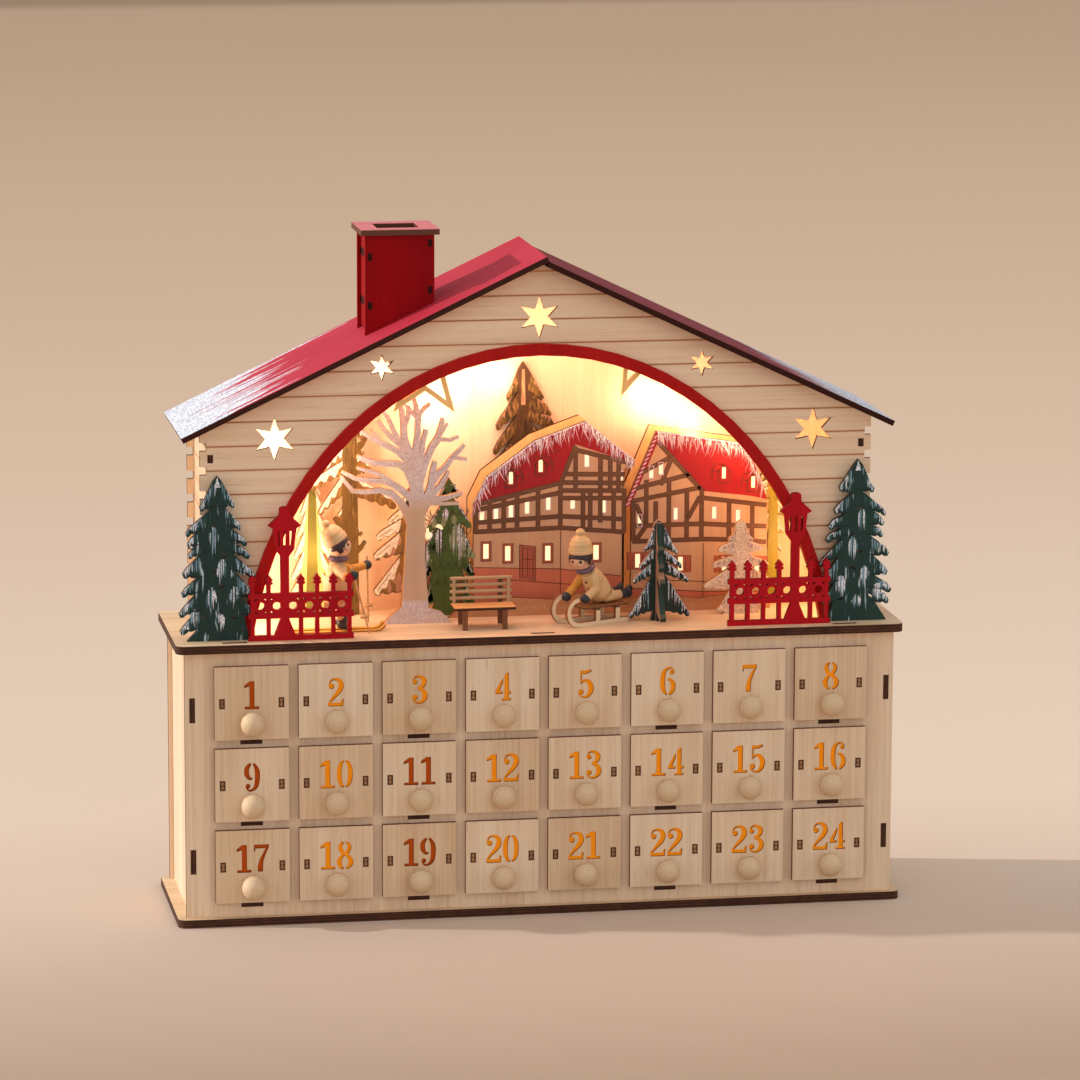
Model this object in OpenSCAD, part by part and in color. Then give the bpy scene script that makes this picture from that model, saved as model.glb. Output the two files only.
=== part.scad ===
// Wooden advent calendar: a cabinet of 24 numbered drawers under a lit alpine house with a winter village.
// Every panel is a flat laser-cut drawing, raised to its board thickness and tenoned into its neighbours.
// X runs along the front, Y from front to back and Z up from the underside of the base plate.

/* [Boards] */
// Thickness of the panels and cut-outs
ply_t = 3; // [2.8:0.1:3.2]
// Thickness of the base plate and the stage plate
plate_t = 4.5; // [4:0.5:6]
// Slack on each side of a tenon in its slot, and of a sliding cover
slot_slack = 0.05; // [0.02:0.01:0.1]
// How far the plates stand out past the front and sides of the cabinet
plate_lip = 4.6; // [3:0.2:6]
// How far the plates stand out past the back of the cabinet
plate_back_lip = 5.2; // [3:0.2:6]
// Corner radius of the plates
plate_r = 4.5; // [2:0.5:6]
// Length of the tenons that stand the panels on the plates
foot_tenon_w = 13; // [8:1:16]

/* [Drawers] */
// Width of a drawer front
front_w = 39.7; // [38:0.1:42]
// Height of a drawer front
front_h = 39.8; // [38:0.1:42]
// Gap between drawer fronts side by side
column_gap = 5.3; // [4.5:0.1:7]
// Gap between drawer fronts one above the other
row_gap = 4.8; // [4.2:0.1:7]
// How far a front laps over the panel at each side of the tray
tray_inset = 2.5; // [2:0.1:3.5]
// How far a front laps over the panel above the tray
top_lap = 3.7; // [2:0.1:6]
// Length of the tray behind the front
tray_l = 82; // [60:1:90]
// Thickness of the tray floor
floor_t = 2; // [1.5:0.1:3]
// Gap between the tray and its opening
tray_slack = 0.5; // [0.3:0.1:0.8]
// Running gap between the tray and its shelf
run_gap = 0.1; // [0.05:0.05:0.2]
// Height of the tenons that join the tray to its front
tray_tenon_h = 5.4; // [3:0.2:8]
// Diameter of the turned knob
knob_d = 13; // [10:0.5:15]
// How far the knob stands out from the front
knob_reach = 11.5; // [9:0.5:12]
// Height of the knob's centre above the lower edge of the front
knob_z = 9.3; // [8:0.1:12]
// Diameter of the knob's spigot
spigot_d = 4; // [3:0.5:6]
// Radial slack of the spigot in its hole
spigot_slack = 0.05; // [0.02:0.01:0.1]

/* [Cabinet] */
// Height of the lowest drawer front above the base plate
first_row_z = 8; // [6:0.5:12]
// Height of the cabinet above the top drawer fronts
head_margin = 7.6; // [5:0.2:12]
// Width of the cabinet outside the outer drawer fronts
side_margin = 15.5; // [12:0.5:20]
// How far the side panels are set in from the edge of the front panel
side_inset = 2.4; // [2:0.1:4]
// Space behind the trays
rear_gap = 4; // [2:0.5:8]
// Height of the side tenons that show in the front panel
side_tenon_h = 13.4; // [8:0.2:18]
// Width of the shelf tenons that show below the drawer fronts
shelf_tenon_w = 11.8; // [8:0.2:16]

/* [House] */
// Distance from the stage's front edge to the house front
porch_d = 19.6; // [17:0.2:22]
// Depth of the house over its front and back panels
house_d = 67; // [62:0.5:70]
// Distance from the side edge of the stage to the house corner
house_margin = 15.4; // [12:0.2:20]
// Height of the gable's point above the stage
house_h = 197.9; // [190:0.5:205]
// Slope of the roof in degrees
roof_angle = 25.4; // [24:0.2:27]
// How far the side walls are set in from the corners
wall_inset = 4; // [3:0.2:5]
// Depth of the notches in the house corners
notch_d = 3.4; // [2:0.2:3.8]
// Height of the notches in the house corners
notch_h = 4.5; // [3:0.1:6]
// Distance between the siding lines
siding_pitch = 12.9; // [12:0.1:14]
// Width of an engraved siding line
groove_w = 0.5; // [0.4:0.1:1]
// Depth of an engraved siding line
groove_d = 0.3; // [0.2:0.1:0.6]
// Height of the wall tenons that show in the house front
wall_tenon_h = 4.4; // [3:0.2:6]
// Roof overhang past the house front
eave_front = 9.8; // [6:0.2:12]
// Roof overhang past the house back
eave_back = 11.6; // [8:0.2:12]
// Roof overhang past the house corners
eave_side = 10.9; // [8:0.2:12]

/* [Arch] */
// Width of each leg of the house front beside the arch
leg_w = 18.5; // [16:0.5:22]
// Height from the arch's top to the gable's point
crown_h = 43.2; // [40:0.5:50]
// Height of the arch's oval from its centre to the top of the opening's band
arch_b = 186.8; // [180:0.1:192]
// Width of the arch's band
band_w = 6.2; // [4:0.2:8]
// Radius of a large star
big_star_r = 11.7; // [9:0.1:13]
// Radius of a small star
small_star_r = 7.3; // [5:0.1:9]
// Radius of the left hanging star
left_star_r = 28; // [22:1:28]
// Radius of the right hanging star
right_star_r = 23; // [18:1:24]
// Width of a hanging star's outline
star_band = 3.3; // [2:0.1:4]

/* [Chimney] */
// Width of the chimney
chimney_w = 37.3; // [32:0.5:42]
// Depth of the chimney
chimney_d = 32; // [28:0.5:36]
// Distance from the ridge to the middle of the chimney
chimney_x = 72.5; // [60:1:85]
// Distance from the house front to the chimney
chimney_setback = 18; // [10:0.5:24]
// Height of the chimney's walls above the gable's point
chimney_rise = 14; // [8:0.5:24]
// Overhang of the chimney's cap
cap_lip = 2.5; // [1:0.1:4]
// Width of the hole in the cap
flue_w = 22.6; // [18:0.2:26]
// Depth of the hole in the cap
flue_d = 19; // [14:0.2:21]
// How far the chimney's side walls are set in
chimney_inset = 1.9; // [1:0.1:3]
// Height of the tenons that show in the chimney
chimney_tenon_h = 4.5; // [3:0.1:6]

/* [Scenery] */
// Distance from the house front to the front of the lamp fences
fence_gap = 11.5; // [10.5:0.1:12]
// Distance from the house front to the front of the corner pines
pine_gap = 7; // [6.4:0.1:7.2]
// Height of a fence to the tips of its pickets
fence_h = 35.8; // [30:0.2:40]
// Distance between pickets
picket_pitch = 8.65; // [8:0.05:9]
// Width of a picket
picket_w = 2.2; // [1.8:0.1:2.6]
// Height of a fence rail
rail_h = 2.8; // [2.2:0.1:3.2]
// Diameter of the hole in a fence ring
ring_d = 4.3; // [3.4:0.1:4.8]
// Distance from the middle of the stage to a lamp post
lamp_x = 138.6; // [130:0.2:142]
// Height of a street lamp
lamp_h = 72; // [64:0.5:80]
// Width of a street lamp's roof
lamp_w = 17.6; // [14:0.2:20]
// Width of a lamp post
post_w = 4.6; // [4:0.1:5.4]
// Height of a corner pine
pine_h = 88.8; // [80:0.4:96]
// Width of a corner pine
pine_w = 42; // [36:0.5:44]
// Height of the bare tree
bare_tree_h = 125.7; // [110:0.5:130]
// Width of the bare tree
bare_tree_w = 66; // [56:0.5:72]
// Height of the left cottage
left_cottage_h = 105.2; // [95:0.5:110]
// Width of the left cottage
left_cottage_w = 89.2; // [80:0.5:92]
// Height of the right cottage
right_cottage_h = 98.8; // [90:0.5:105]
// Width of the right cottage
right_cottage_w = 80; // [72:0.5:84]
// Distance from a cottage to the board behind it
backing_gap = 11; // [8:0.5:12]
// How far a backing board stands out past its cottage, to the left and above
backing_rim = 1.2; // [0.5:0.1:1.6]
// Height of the tall spruce
spruce_h = 135.8; // [125:0.5:142]
// Width of the tall spruce
spruce_w = 50; // [40:0.5:56]
// Height of the crossed fir
crossed_fir_h = 55.3; // [48:0.2:60]
// Width of the crossed fir
crossed_fir_w = 35.4; // [30:0.2:38]
// Height of the white fir
white_fir_h = 52; // [46:0.5:58]
// Width of the white fir
white_fir_w = 41; // [34:0.5:44]
// Height of the snow bank
bank_h = 12; // [9:0.5:15]

/* [Bench and sledge] */
// Length of the bench
bench_w = 33.6; // [30:0.2:38]
// Depth of the bench
bench_d = 17.8; // [16:0.2:19]
// Height of the bench's back
bench_h = 26.6; // [24:0.2:29]
// Height of the bench's seat
seat_h = 10.8; // [9:0.2:12]
// Thickness of the bench's boards
bench_t = 1.4; // [1.2:0.1:1.8]
// Width of the bench's legs
bench_leg = 2.6; // [2:0.1:3.4]
// Height of a slat in the bench's back
slat_h = 1.9; // [1.4:0.1:2.1]
// Length of the sledge's runners behind the curl
runner_l = 33; // [28:0.5:38]
// Radius of the runners' curl
curl_r = 8; // [6.5:0.1:9]
// Height of a runner's bar
runner_h = 2.2; // [1.8:0.1:2.6]
// Width of the sledge over its runners
sledge_w = 16; // [13:0.2:18]
// Thickness of a runner
runner_t = 2; // [1.5:0.1:2.5]
// Thickness of the sledge's deck
deck_t = 2; // [1.5:0.1:2.5]
// Radius of a figure's head
head_r = 6.3; // [5.6:0.1:6.6]
// Radius of a figure's body
body_r = 6.6; // [6:0.1:7.2]
// Length of a figure's body
body_l = 20.6; // [19:0.2:22]
// Radius of an arm
arm_r = 2.1; // [1.7:0.1:2.4]
// Radius of a leg
leg_r = 2.7; // [2.2:0.1:3]
// Length of the skis
ski_l = 50; // [44:0.5:56]
// Width of a ski
ski_w = 4; // [3:0.2:4.6]
// Radius of a ski pole
pole_r = 0.6; // [0.5:0.05:0.8]

/* [Lighting] */
// Radius of a lamp's lens
led_r = 2.5; // [2:0.1:3]
// Length of a lamp's body
led_l = 5; // [4:0.2:7]
// Distance from the arch to a lamp
led_gap = 9; // [7:0.2:10]
// Inner width of the battery box
cell_space_w = 50; // [48:0.5:54]
// Inner height of the battery box
cell_space_h = 22; // [21.5:0.5:25]
// Inner depth of the battery box
cell_space_d = 11; // [10.8:0.1:11.6]
// Wall of the battery box
box_wall = 1.4; // [1.2:0.1:1.8]
// Width of the battery box's flange
flange_w = 4.5; // [4:0.1:6]
// Thickness of the battery box's flange
flange_t = 4.4; // [4.2:0.1:5]
// Distance from the middle of the stage to the battery box
battery_x = 56; // [55:0.5:60]
// Height of the battery box above the stage
battery_z = 24; // [18:0.5:30]
// Thickness of the battery cover
cover_t = 1.5; // [1.2:0.1:2]
// Travel of the switch
switch_travel = 3; // [2:0.1:4]
// Size of the switch's knob
switch_knob = 4; // [3:0.1:5]

/* [Hidden] */
$fn = 48;

// Cabinet sizes that follow from the drawers
columns = 8;
rows = 3;
overrun = 1;
column_pitch = front_w + column_gap;
row_pitch = front_h + row_gap;
case_w = (columns - 1) * column_pitch + front_w + 2 * side_margin;
case_h = first_row_z + (rows - 1) * row_pitch + front_h + head_margin;
case_d = tray_l + rear_gap + ply_t;
inner_w = case_w - 2 * (side_inset + ply_t);
back_y = case_d - ply_t;
tray_w = front_w - 2 * tray_inset;
opening_w = tray_w + 2 * tray_slack;
opening_h = front_h - top_lap;
tray_h = opening_h - tray_slack - run_gap;
plate_w = case_w + 2 * plate_lip;
plate_d = case_d + plate_lip + plate_back_lip;
stage_z = case_h + plate_t;
middle_y = (case_d + plate_back_lip - ply_t - knob_reach) / 2;
// Columns whose shelf tenons reach through the panels, counted from zero
tenon_columns = [0, 2, 5, 7];
// Heights of the side panels' tenons as shares of the cabinet's height
side_tenon_shares = [0.212, 0.784];
// Places of the panels' foot tenons as shares of the panel's width
foot_shares = [-0.43, 0, 0.43];
// Places of the tray's back tenons as shares of the tray's height
tray_back_share = 0.5;
// Steps of a rounded plate corner and of the arch
corner_steps = 6;
arch_steps = 72;

function drawer_x(column) = (column - (columns - 1) / 2) * column_pitch;
function drawer_z(row) = first_row_z + row * row_pitch;

// House sizes that follow from the cabinet
house_y = porch_d - plate_lip;
house_w = plate_w - 2 * house_margin;
rear_y = house_y + house_d - ply_t;
wall_x = house_w / 2 - wall_inset;
corner_h = house_h - tan(roof_angle) * house_w / 2;
wall_h = house_h - tan(roof_angle) * wall_x;
roof_d = house_d + eave_front + eave_back;
roof_l = (house_w / 2 + eave_side - ply_t * sin(roof_angle)) / cos(roof_angle);
roof_rise = ply_t / cos(roof_angle);
ridge_lap = ply_t / sin(2 * roof_angle);
ridge_start = ply_t / tan(2 * roof_angle);
arch_a = house_w / 2 - leg_w;
arch_drop = arch_b + crown_h - house_h;
siding_lines = 14;
notch_lines = [for (line = [2:floor(corner_h / siding_pitch)]) line];
// Siding boards that hold the wall tenons, counted from the stage
wall_tenon_boards = [2.5, floor(wall_h / siding_pitch) - 0.5];
// Places of the stars: share of the half width, and drop below the roof line as a share of crown_h
big_star_shares = [[-0.781, 0.554], [0, 0.673], [0.824, 0.5]];
small_star_shares = [[-0.465, 0.325], [0.487, 0.317]];
// Inner radius of a cut star as a share of its outer radius
star_share = 0.42;
// Tips of the hanging stars and their tilt
left_tip_shares = [-0.248, 1.354];
right_tip_shares = [0.248, 1.194];
left_star_tilt = 124;
right_star_tilt = 67;
hanging_share = 0.4;

chimney_y = house_y + chimney_setback;
chimney_top = house_h + chimney_rise;
// Heights of the chimney's tenons as shares of each side's height
chimney_tenon_shares = [0.22, 0.78];

// Angles of the lamps round the arch
led_angles = [20, 45, 80, 100, 135, 160];

// Tray and panel helpers: a drawing in X and Z, in Y and Z, and in X and Y
module upright(y, t = ply_t) {
    translate([0, y + t, 0]) rotate([90, 0, 0]) linear_extrude(t) children();
}
module crosswise(x, t = ply_t) {
    translate([x, 0, 0]) rotate([90, 0, 90]) linear_extrude(t) children();
}
module flat(z, t = ply_t) {
    translate([0, 0, z]) linear_extrude(t) children();
}
module in_frame() {
    translate([0, -middle_y, plate_t]) children();
}
module on_stage() {
    in_frame() translate([0, 0, stage_z]) children();
}
// A slot and the tenon that fills it, both centred on x and rising from y
module slot(x, y, w, h) {
    translate([x - w / 2 - slot_slack, y - slot_slack]) square([w + 2 * slot_slack, h + 2 * slot_slack]);
}
module tenon(x, y, w, h) {
    translate([x - w / 2, y]) square([w, h]);
}

// Rounded rectangle of a plate, from its lower left corner
function corner_points(x, y, r, start) =
    [for (i = [0:corner_steps]) [x + r * cos(start + i * 90 / corner_steps),
        y + r * sin(start + i * 90 / corner_steps)]];
module rounded(w, d, r) {
    polygon(concat(
        corner_points(w - r, d - r, r, 0), corner_points(r, d - r, r, 90),
        corner_points(r, r, r, 180), corner_points(w - r, r, r, 270)));
}
module plate_outline() {
    translate([-plate_w / 2, -plate_lip]) rounded(plate_w, plate_d, plate_r);
}

// Slots for the foot tenons of the front and back panels of the cabinet
module case_slots() {
    for (share = foot_shares) {
        slot(share * case_w, 0, foot_tenon_w, ply_t);
        slot(share * case_w, back_y, foot_tenon_w, ply_t);
    }
}
module base_plate() {
    color("BurlyWood") in_frame() flat(-plate_t, plate_t) difference() {
        plate_outline();
        case_slots();
    }
}

module case_panel() {
    translate([-case_w / 2, 0]) square([case_w, case_h]);
    for (share = foot_shares) {
        tenon(share * case_w, case_h, foot_tenon_w, plate_t);
        tenon(share * case_w, -plate_t, foot_tenon_w, plate_t);
    }
}
module side_slots() {
    side_x = case_w / 2 - side_inset - ply_t / 2;
    for (x = [-side_x, side_x], share = side_tenon_shares)
        slot(x, share * case_h - side_tenon_h / 2, ply_t, side_tenon_h);
}
module shelf_slots() {
    for (column = tenon_columns, row = [0:rows - 1])
        slot(drawer_x(column), drawer_z(row) - ply_t, shelf_tenon_w, ply_t);
}
module case_front() {
    color("BurlyWood") in_frame() upright(0) difference() {
        case_panel();
        for (column = [0:columns - 1], row = [0:rows - 1])
            tenon(drawer_x(column), drawer_z(row), opening_w, opening_h);
        shelf_slots();
        side_slots();
    }
}
module case_back() {
    color("BurlyWood") in_frame() upright(back_y) difference() {
        case_panel();
        shelf_slots();
        side_slots();
    }
}
module case_sides() {
    color("BurlyWood") in_frame()
        for (x = [-case_w / 2 + side_inset, case_w / 2 - side_inset - ply_t])
            crosswise(x) {
                translate([ply_t, 0]) square([back_y - ply_t, case_h]);
                for (share = side_tenon_shares)
                    translate([0, share * case_h - side_tenon_h / 2]) square([case_d, side_tenon_h]);
            }
}
// Shelves and dividers halve into each other like an egg crate
module drawer_shelves() {
    middle = case_d / 2;
    color("BurlyWood") in_frame()
        for (row = [0:rows - 1])
            flat(drawer_z(row) - ply_t) difference() {
                union() {
                    translate([-inner_w / 2, ply_t]) square([inner_w, back_y - ply_t]);
                    for (column = tenon_columns) tenon(drawer_x(column), 0, shelf_tenon_w, case_d);
                }
                for (i = [1:columns - 1])
                    tenon(drawer_x(i) - column_pitch / 2, 0, ply_t + 2 * slot_slack, middle);
            }
}
module drawer_dividers() {
    middle = case_d / 2;
    color("BurlyWood") in_frame()
        for (i = [1:columns - 1])
            crosswise(drawer_x(i) - column_pitch / 2 - ply_t / 2) difference() {
                translate([ply_t, 0]) square([back_y - ply_t, case_h]);
                for (row = [0:rows - 1])
                    translate([middle, drawer_z(row) - ply_t - slot_slack])
                        square([case_d, ply_t + 2 * slot_slack]);
            }
}

// One drawer: a lapped front, a tray tenoned through it and a turned knob on a spigot
module drawer(number) {
    column = (number - 1) % columns;
    row = rows - 1 - floor((number - 1) / columns);
    side_x = tray_w / 2 - ply_t / 2;
    tenon_z = (front_h - tray_tenon_h) / 2;
    back_tenon_h = tray_h / 3;
    rear = tray_l - ply_t;
    color("Wheat") in_frame() translate([drawer_x(column), 0, drawer_z(row)]) {
        difference() {
            upright(-ply_t) difference() {
                tenon(0, 0, front_w, front_h);
                for (x = [-side_x, side_x]) slot(x, tenon_z, ply_t, tray_tenon_h);
            }
            translate([0, 0, knob_z]) rotate([90, 0, 0])
                cylinder(r = spigot_d / 2 + spigot_slack, h = 2 * ply_t, center = false);
        }
        for (x = [-side_x, side_x])
            crosswise(x - ply_t / 2) difference() {
                union() {
                    translate([0, run_gap]) square([tray_l, tray_h]);
                    translate([-ply_t, tenon_z]) square([ply_t, tray_tenon_h]);
                }
                translate([rear - slot_slack, run_gap + back_tenon_h - slot_slack])
                    square([ply_t + overrun, back_tenon_h + 2 * slot_slack]);
            }
        flat(run_gap, floor_t) translate([0, 0]) tenon(0, 0, tray_w - 2 * ply_t, rear);
        upright(rear) {
            tenon(0, run_gap, tray_w - 2 * ply_t, tray_h);
            tenon(0, run_gap + back_tenon_h, tray_w, back_tenon_h);
        }
        knob();
    }
}
module knob() {
    ball_y = -ply_t - knob_reach + knob_d / 2;
    translate([0, 0, knob_z]) {
        difference() {
            translate([0, ball_y, 0]) sphere(d = knob_d);
            translate([-knob_d / 2, -ply_t, -knob_d / 2]) cube([knob_d, knob_d, knob_d]);
        }
        translate([0, 0, 0]) rotate([90, 0, 0]) cylinder(d = spigot_d, h = ply_t + overrun);
    }
}

// Place on the stage from shares of the half width and of the depth inside the house
function stage_x(share) = share * house_w / 2;
function stage_y(share) = house_y + share * house_d;

fence_y = house_y - fence_gap;
pine_y = house_y - pine_gap;
pine_x = wall_x - foot_tenon_w / 3;
ornament_tenon_w = foot_tenon_w / 2;
// Places of the cut-outs inside the house: share of the half width, share of the depth
bare_tree_place_shares = [-0.349, 0.32];
left_cottage_place_shares = [-0.158, 0.61];
right_cottage_place_shares = [0.299, 0.61];
spruce_place_shares = [0.01, 0.9];
crossed_fir_place_shares = [0.371, 0.17];
white_fir_place_shares = [0.634, 0.31];
bench_place_shares = [-0.16, -0.02];
sledge_place_shares = [0.121, -0.03];
skier_place_shares = [-0.58, 0.09];
bank_place_shares = [-0.24, 0.5];
// Trees of the wood: place, height and width as shares of the stage and of the tall spruce, and their kind
wood_shares = [
    [-0.632, 0.84, 0.62, 0.5, 0], [-0.523, 0.74, 0.93, 1.05, 1], [0.767, 0.74, 0.62, 0.95, 2],
    [-0.232, 0.61, 0.56, 0.52, 3], [-0.34, 0.679, 0.523, 0.84, 4]];

// Stage slots: one for each cut-out that stands in the plate
module stage_slots() {
    for (side = [-1, 1]) {
        slot(side * (lamp_x - picket_pitch), fence_y, ornament_tenon_w, ply_t);
        slot(side * pine_x, pine_y, ornament_tenon_w, ply_t);
        slot(side * (house_w - leg_w) / 2, house_y, foot_tenon_w, ply_t);
        slot(side * (house_w - leg_w) / 2, rear_y, foot_tenon_w, ply_t);
    }
    for (place = [bare_tree_place_shares, spruce_place_shares, white_fir_place_shares])
        slot(stage_x(place[0]), stage_y(place[1]), ornament_tenon_w, ply_t);
    for (place = [left_cottage_place_shares, right_cottage_place_shares], dy = [0, ply_t + backing_gap])
        slot(stage_x(place[0]) + cottage_tenon_x, stage_y(place[1]) + dy, foot_tenon_w, ply_t);
    for (tree = wood_shares)
        slot(stage_x(tree[0]), stage_y(tree[1]), ornament_tenon_w, ply_t);
}
module stage_plate() {
    color("BurlyWood") in_frame() flat(case_h, plate_t) difference() {
        plate_outline();
        case_slots();
        stage_slots();
    }
}
// A cut-out on the stage with one tenon down through the plate
module standing(x, y, tenon_x = 0, tenon_w = ornament_tenon_w) {
    on_stage() upright(y) translate([x, 0]) {
        children();
        tenon(tenon_x, -plate_t, tenon_w, plate_t + overrun);
    }
}

// Oval of the arch, larger or smaller by an offset
function arch_points(offset) =
    [for (i = [0:arch_steps - 1])
        [(arch_a + offset) * cos(360 * i / arch_steps), -arch_drop + (arch_b + offset)
            * sin(360 * i / arch_steps)]];
function star_points(points, r, share, turn) =
    [for (i = [0:2 * points - 1])
        let (reach = i % 2 == 0 ? r : r * share) [reach * cos(turn + i * 180 / points),
            reach * sin(turn + i * 180 / points)]];
function under_roof(place) =
    let (x = place[0] * house_w / 2) [x, house_h - tan(roof_angle) * abs(x) - place[1] * crown_h];
module house_outline() {
    difference() {
        polygon([[-house_w / 2, 0], [house_w / 2, 0], [house_w / 2, corner_h], [0, house_h],
            [-house_w / 2, corner_h]]);
        for (line = notch_lines, side = [-1, 1])
            tenon(side * house_w / 2, line * siding_pitch - notch_h / 2, 2 * notch_d, notch_h);
        for (x = [-wall_x + ply_t / 2, wall_x - ply_t / 2], board = wall_tenon_boards)
            slot(x, board * siding_pitch - wall_tenon_h / 2, ply_t, wall_tenon_h);
    }
    for (side = [-1, 1]) tenon(side * (house_w - leg_w) / 2, -plate_t, foot_tenon_w, plate_t);
}
module house_front() {
    color("Wheat") on_stage() difference() {
        upright(house_y) difference() {
            house_outline();
            intersection() {
                polygon(arch_points(-band_w));
                translate([-house_w / 2, -overrun]) square([house_w, house_h]);
            }
            for (place = big_star_shares)
                translate(under_roof(place)) polygon(star_points(6, big_star_r, star_share, 90));
            for (place = small_star_shares)
                translate(under_roof(place)) polygon(star_points(6, small_star_r, star_share, 90));
        }
        for (line = [1:siding_lines])
            translate([-house_w / 2 - overrun, house_y - overrun, line * siding_pitch - groove_w / 2])
                cube([house_w + 2 * overrun, groove_d + overrun, groove_w]);
    }
}
module arch_trim() {
    color("FireBrick") on_stage() upright(house_y - ply_t) intersection() {
        difference() {
            polygon(arch_points(0));
            polygon(arch_points(-band_w));
        }
        translate([-house_w / 2, 0]) square([house_w, house_h]);
    }
}
module house_sides() {
    color("Wheat") on_stage()
        for (x = [-wall_x, wall_x - ply_t])
            crosswise(x) {
                translate([house_y + ply_t, 0]) square([house_d - 2 * ply_t, wall_h]);
                for (board = wall_tenon_boards)
                    translate([house_y, board * siding_pitch - wall_tenon_h / 2]) square([house_d,
                        wall_tenon_h]);
            }
}
battery_hole_w = cell_space_w + 2 * box_wall;
battery_hole_h = cell_space_h + 2 * box_wall;
module house_back() {
    color("Wheat") on_stage() upright(rear_y) difference() {
        house_outline();
        slot(battery_x, battery_z, battery_hole_w, battery_hole_h);
    }
}
module roof_left() {
    color("Crimson") on_stage() translate([0, house_y - eave_front, house_h]) rotate([0, -roof_angle, 0])
        translate([-roof_l, 0, 0]) cube([roof_l + ridge_lap, roof_d, ply_t]);
}
module roof_right() {
    color("DarkRed") on_stage() translate([0, house_y - eave_front, house_h]) rotate([0, roof_angle, 0])
        translate([ridge_start, 0, 0]) cube([roof_l - ridge_start, roof_d, ply_t]);
}

// The chimney stands on the left slope, so its lower edges follow the roof
function roof_top(x) = house_h + roof_rise - tan(roof_angle) * abs(x);
chimney_left = -chimney_x - chimney_w / 2;
chimney_right = -chimney_x + chimney_w / 2;
function chimney_tenon_z(x, share) = roof_top(x) + share * (chimney_top - roof_top(x))
    - chimney_tenon_h / 2;
chimney_side_x = [chimney_left + chimney_inset, chimney_right - chimney_inset - ply_t];
module chimney_face() {
    difference() {
        polygon([
            [chimney_left, roof_top(chimney_left)], [chimney_right, roof_top(chimney_right)],
            [chimney_right, chimney_top], [chimney_left, chimney_top]]);
        for (x = chimney_side_x, share = chimney_tenon_shares)
            slot(x + ply_t / 2, chimney_tenon_z(x + ply_t, share), ply_t, chimney_tenon_h);
    }
}
module chimney_walls() {
    color("DarkRed") on_stage() {
        upright(chimney_y) chimney_face();
        upright(chimney_y + chimney_d - ply_t) chimney_face();
        for (x = chimney_side_x)
            crosswise(x) {
                translate([chimney_y + ply_t, roof_top(x + ply_t)])
                    square([chimney_d - 2 * ply_t, chimney_top - roof_top(x + ply_t)]);
                for (share = chimney_tenon_shares)
                    translate([chimney_y, chimney_tenon_z(x + ply_t, share)]) square([chimney_d,
                        chimney_tenon_h]);
            }
    }
}
module chimney_cap() {
    cap_w = chimney_w + 2 * cap_lip;
    cap_d = chimney_d + 2 * cap_lip;
    color("DarkRed") on_stage() flat(chimney_top) difference() {
        translate([-chimney_x - cap_w / 2, chimney_y - cap_lip]) square([cap_w, cap_d]);
        translate([-chimney_x - flue_w / 2, chimney_y + (chimney_d - flue_d) / 2]) square([flue_w, flue_d]);
    }
}

// Hollow five-pointed stars glued behind the house front, with one tip below the arch
module hollow_star(tip_shares, r, tilt) {
    tip = under_roof(tip_shares);
    centre = [tip[0] + r * cos(tilt), tip[1] + r * sin(tilt)];
    inner_r = r - star_band / sin(18 + 18 * hanging_share);
    translate(centre) difference() {
        polygon(star_points(5, r, hanging_share, tilt + 180));
        polygon(star_points(5, inner_r, hanging_share, tilt + 180));
    }
}
module hanging_stars() {
    color("BurlyWood") on_stage() upright(house_y + ply_t) {
        hollow_star(left_tip_shares, left_star_r, left_star_tilt);
        hollow_star(right_tip_shares, right_star_r, right_star_tilt);
    }
}

// A fence of seven arrow-headed pickets and three rails, cut in one board with its street lamp
pickets = 7;
rail_shares = [0, 0.335, 0.635];
// Half outline of an arrow head: share of the picket's width, share of the fence's height from the top
arrow_shares = [[0.5, 0.3], [0.5, 0.16], [1.0, 0.145], [1.0, 0.12], [0.45, 0.11], [1.05, 0.085], [0, 0]];
// Half outline of the street lamp: share of the lamp's width, share of its height
lamp_shares = [
    [0.31, 0], [0.31, 0.05], [0.13, 0.16], [0.13, 0.63], [0.29, 0.685], [0.36, 0.84], [0.5, 0.86],
    [0.17, 0.935], [0.16, 0.955], [0.15, 0.99], [0.08, 1]];
function mirrored(points, w, h) = concat(
    [for (p = points) [p[0] * w, p[1] * h]],
    [for (i = [len(points) - 1:-1:0]) [-points[i][0] * w, points[i][1] * h]]);
module picket(x) {
    translate([x, fence_h]) polygon(mirrored([for (p = arrow_shares) [p[0], -p[1]]], picket_w, fence_h));
    translate([x - picket_w / 2, 0]) square([picket_w, fence_h * 0.75]);
}
module fence_ring(x) {
    z = (rail_shares[1] + rail_shares[2]) / 2 * fence_h + rail_h / 2;
    ring_h = (rail_shares[2] - rail_shares[1]) * fence_h - rail_h;
    translate([x, z]) difference() {
        circle(d = ring_h + slot_slack * 4);
        circle(d = ring_d);
    }
}
module lamp_panes() {
    pane_w = lamp_w * 0.085;
    pane_z = lamp_h * 0.71;
    pane_h = lamp_h * 0.11;
    tenon(0, pane_z, pane_w, pane_h);
    for (side = [-1, 1])
        polygon([
            [side * lamp_w * 0.15, pane_z], [side * lamp_w * 0.19, pane_z],
            [side * lamp_w * 0.24, pane_z + pane_h], [side * lamp_w * 0.15, pane_z + pane_h]]);
}
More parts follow.
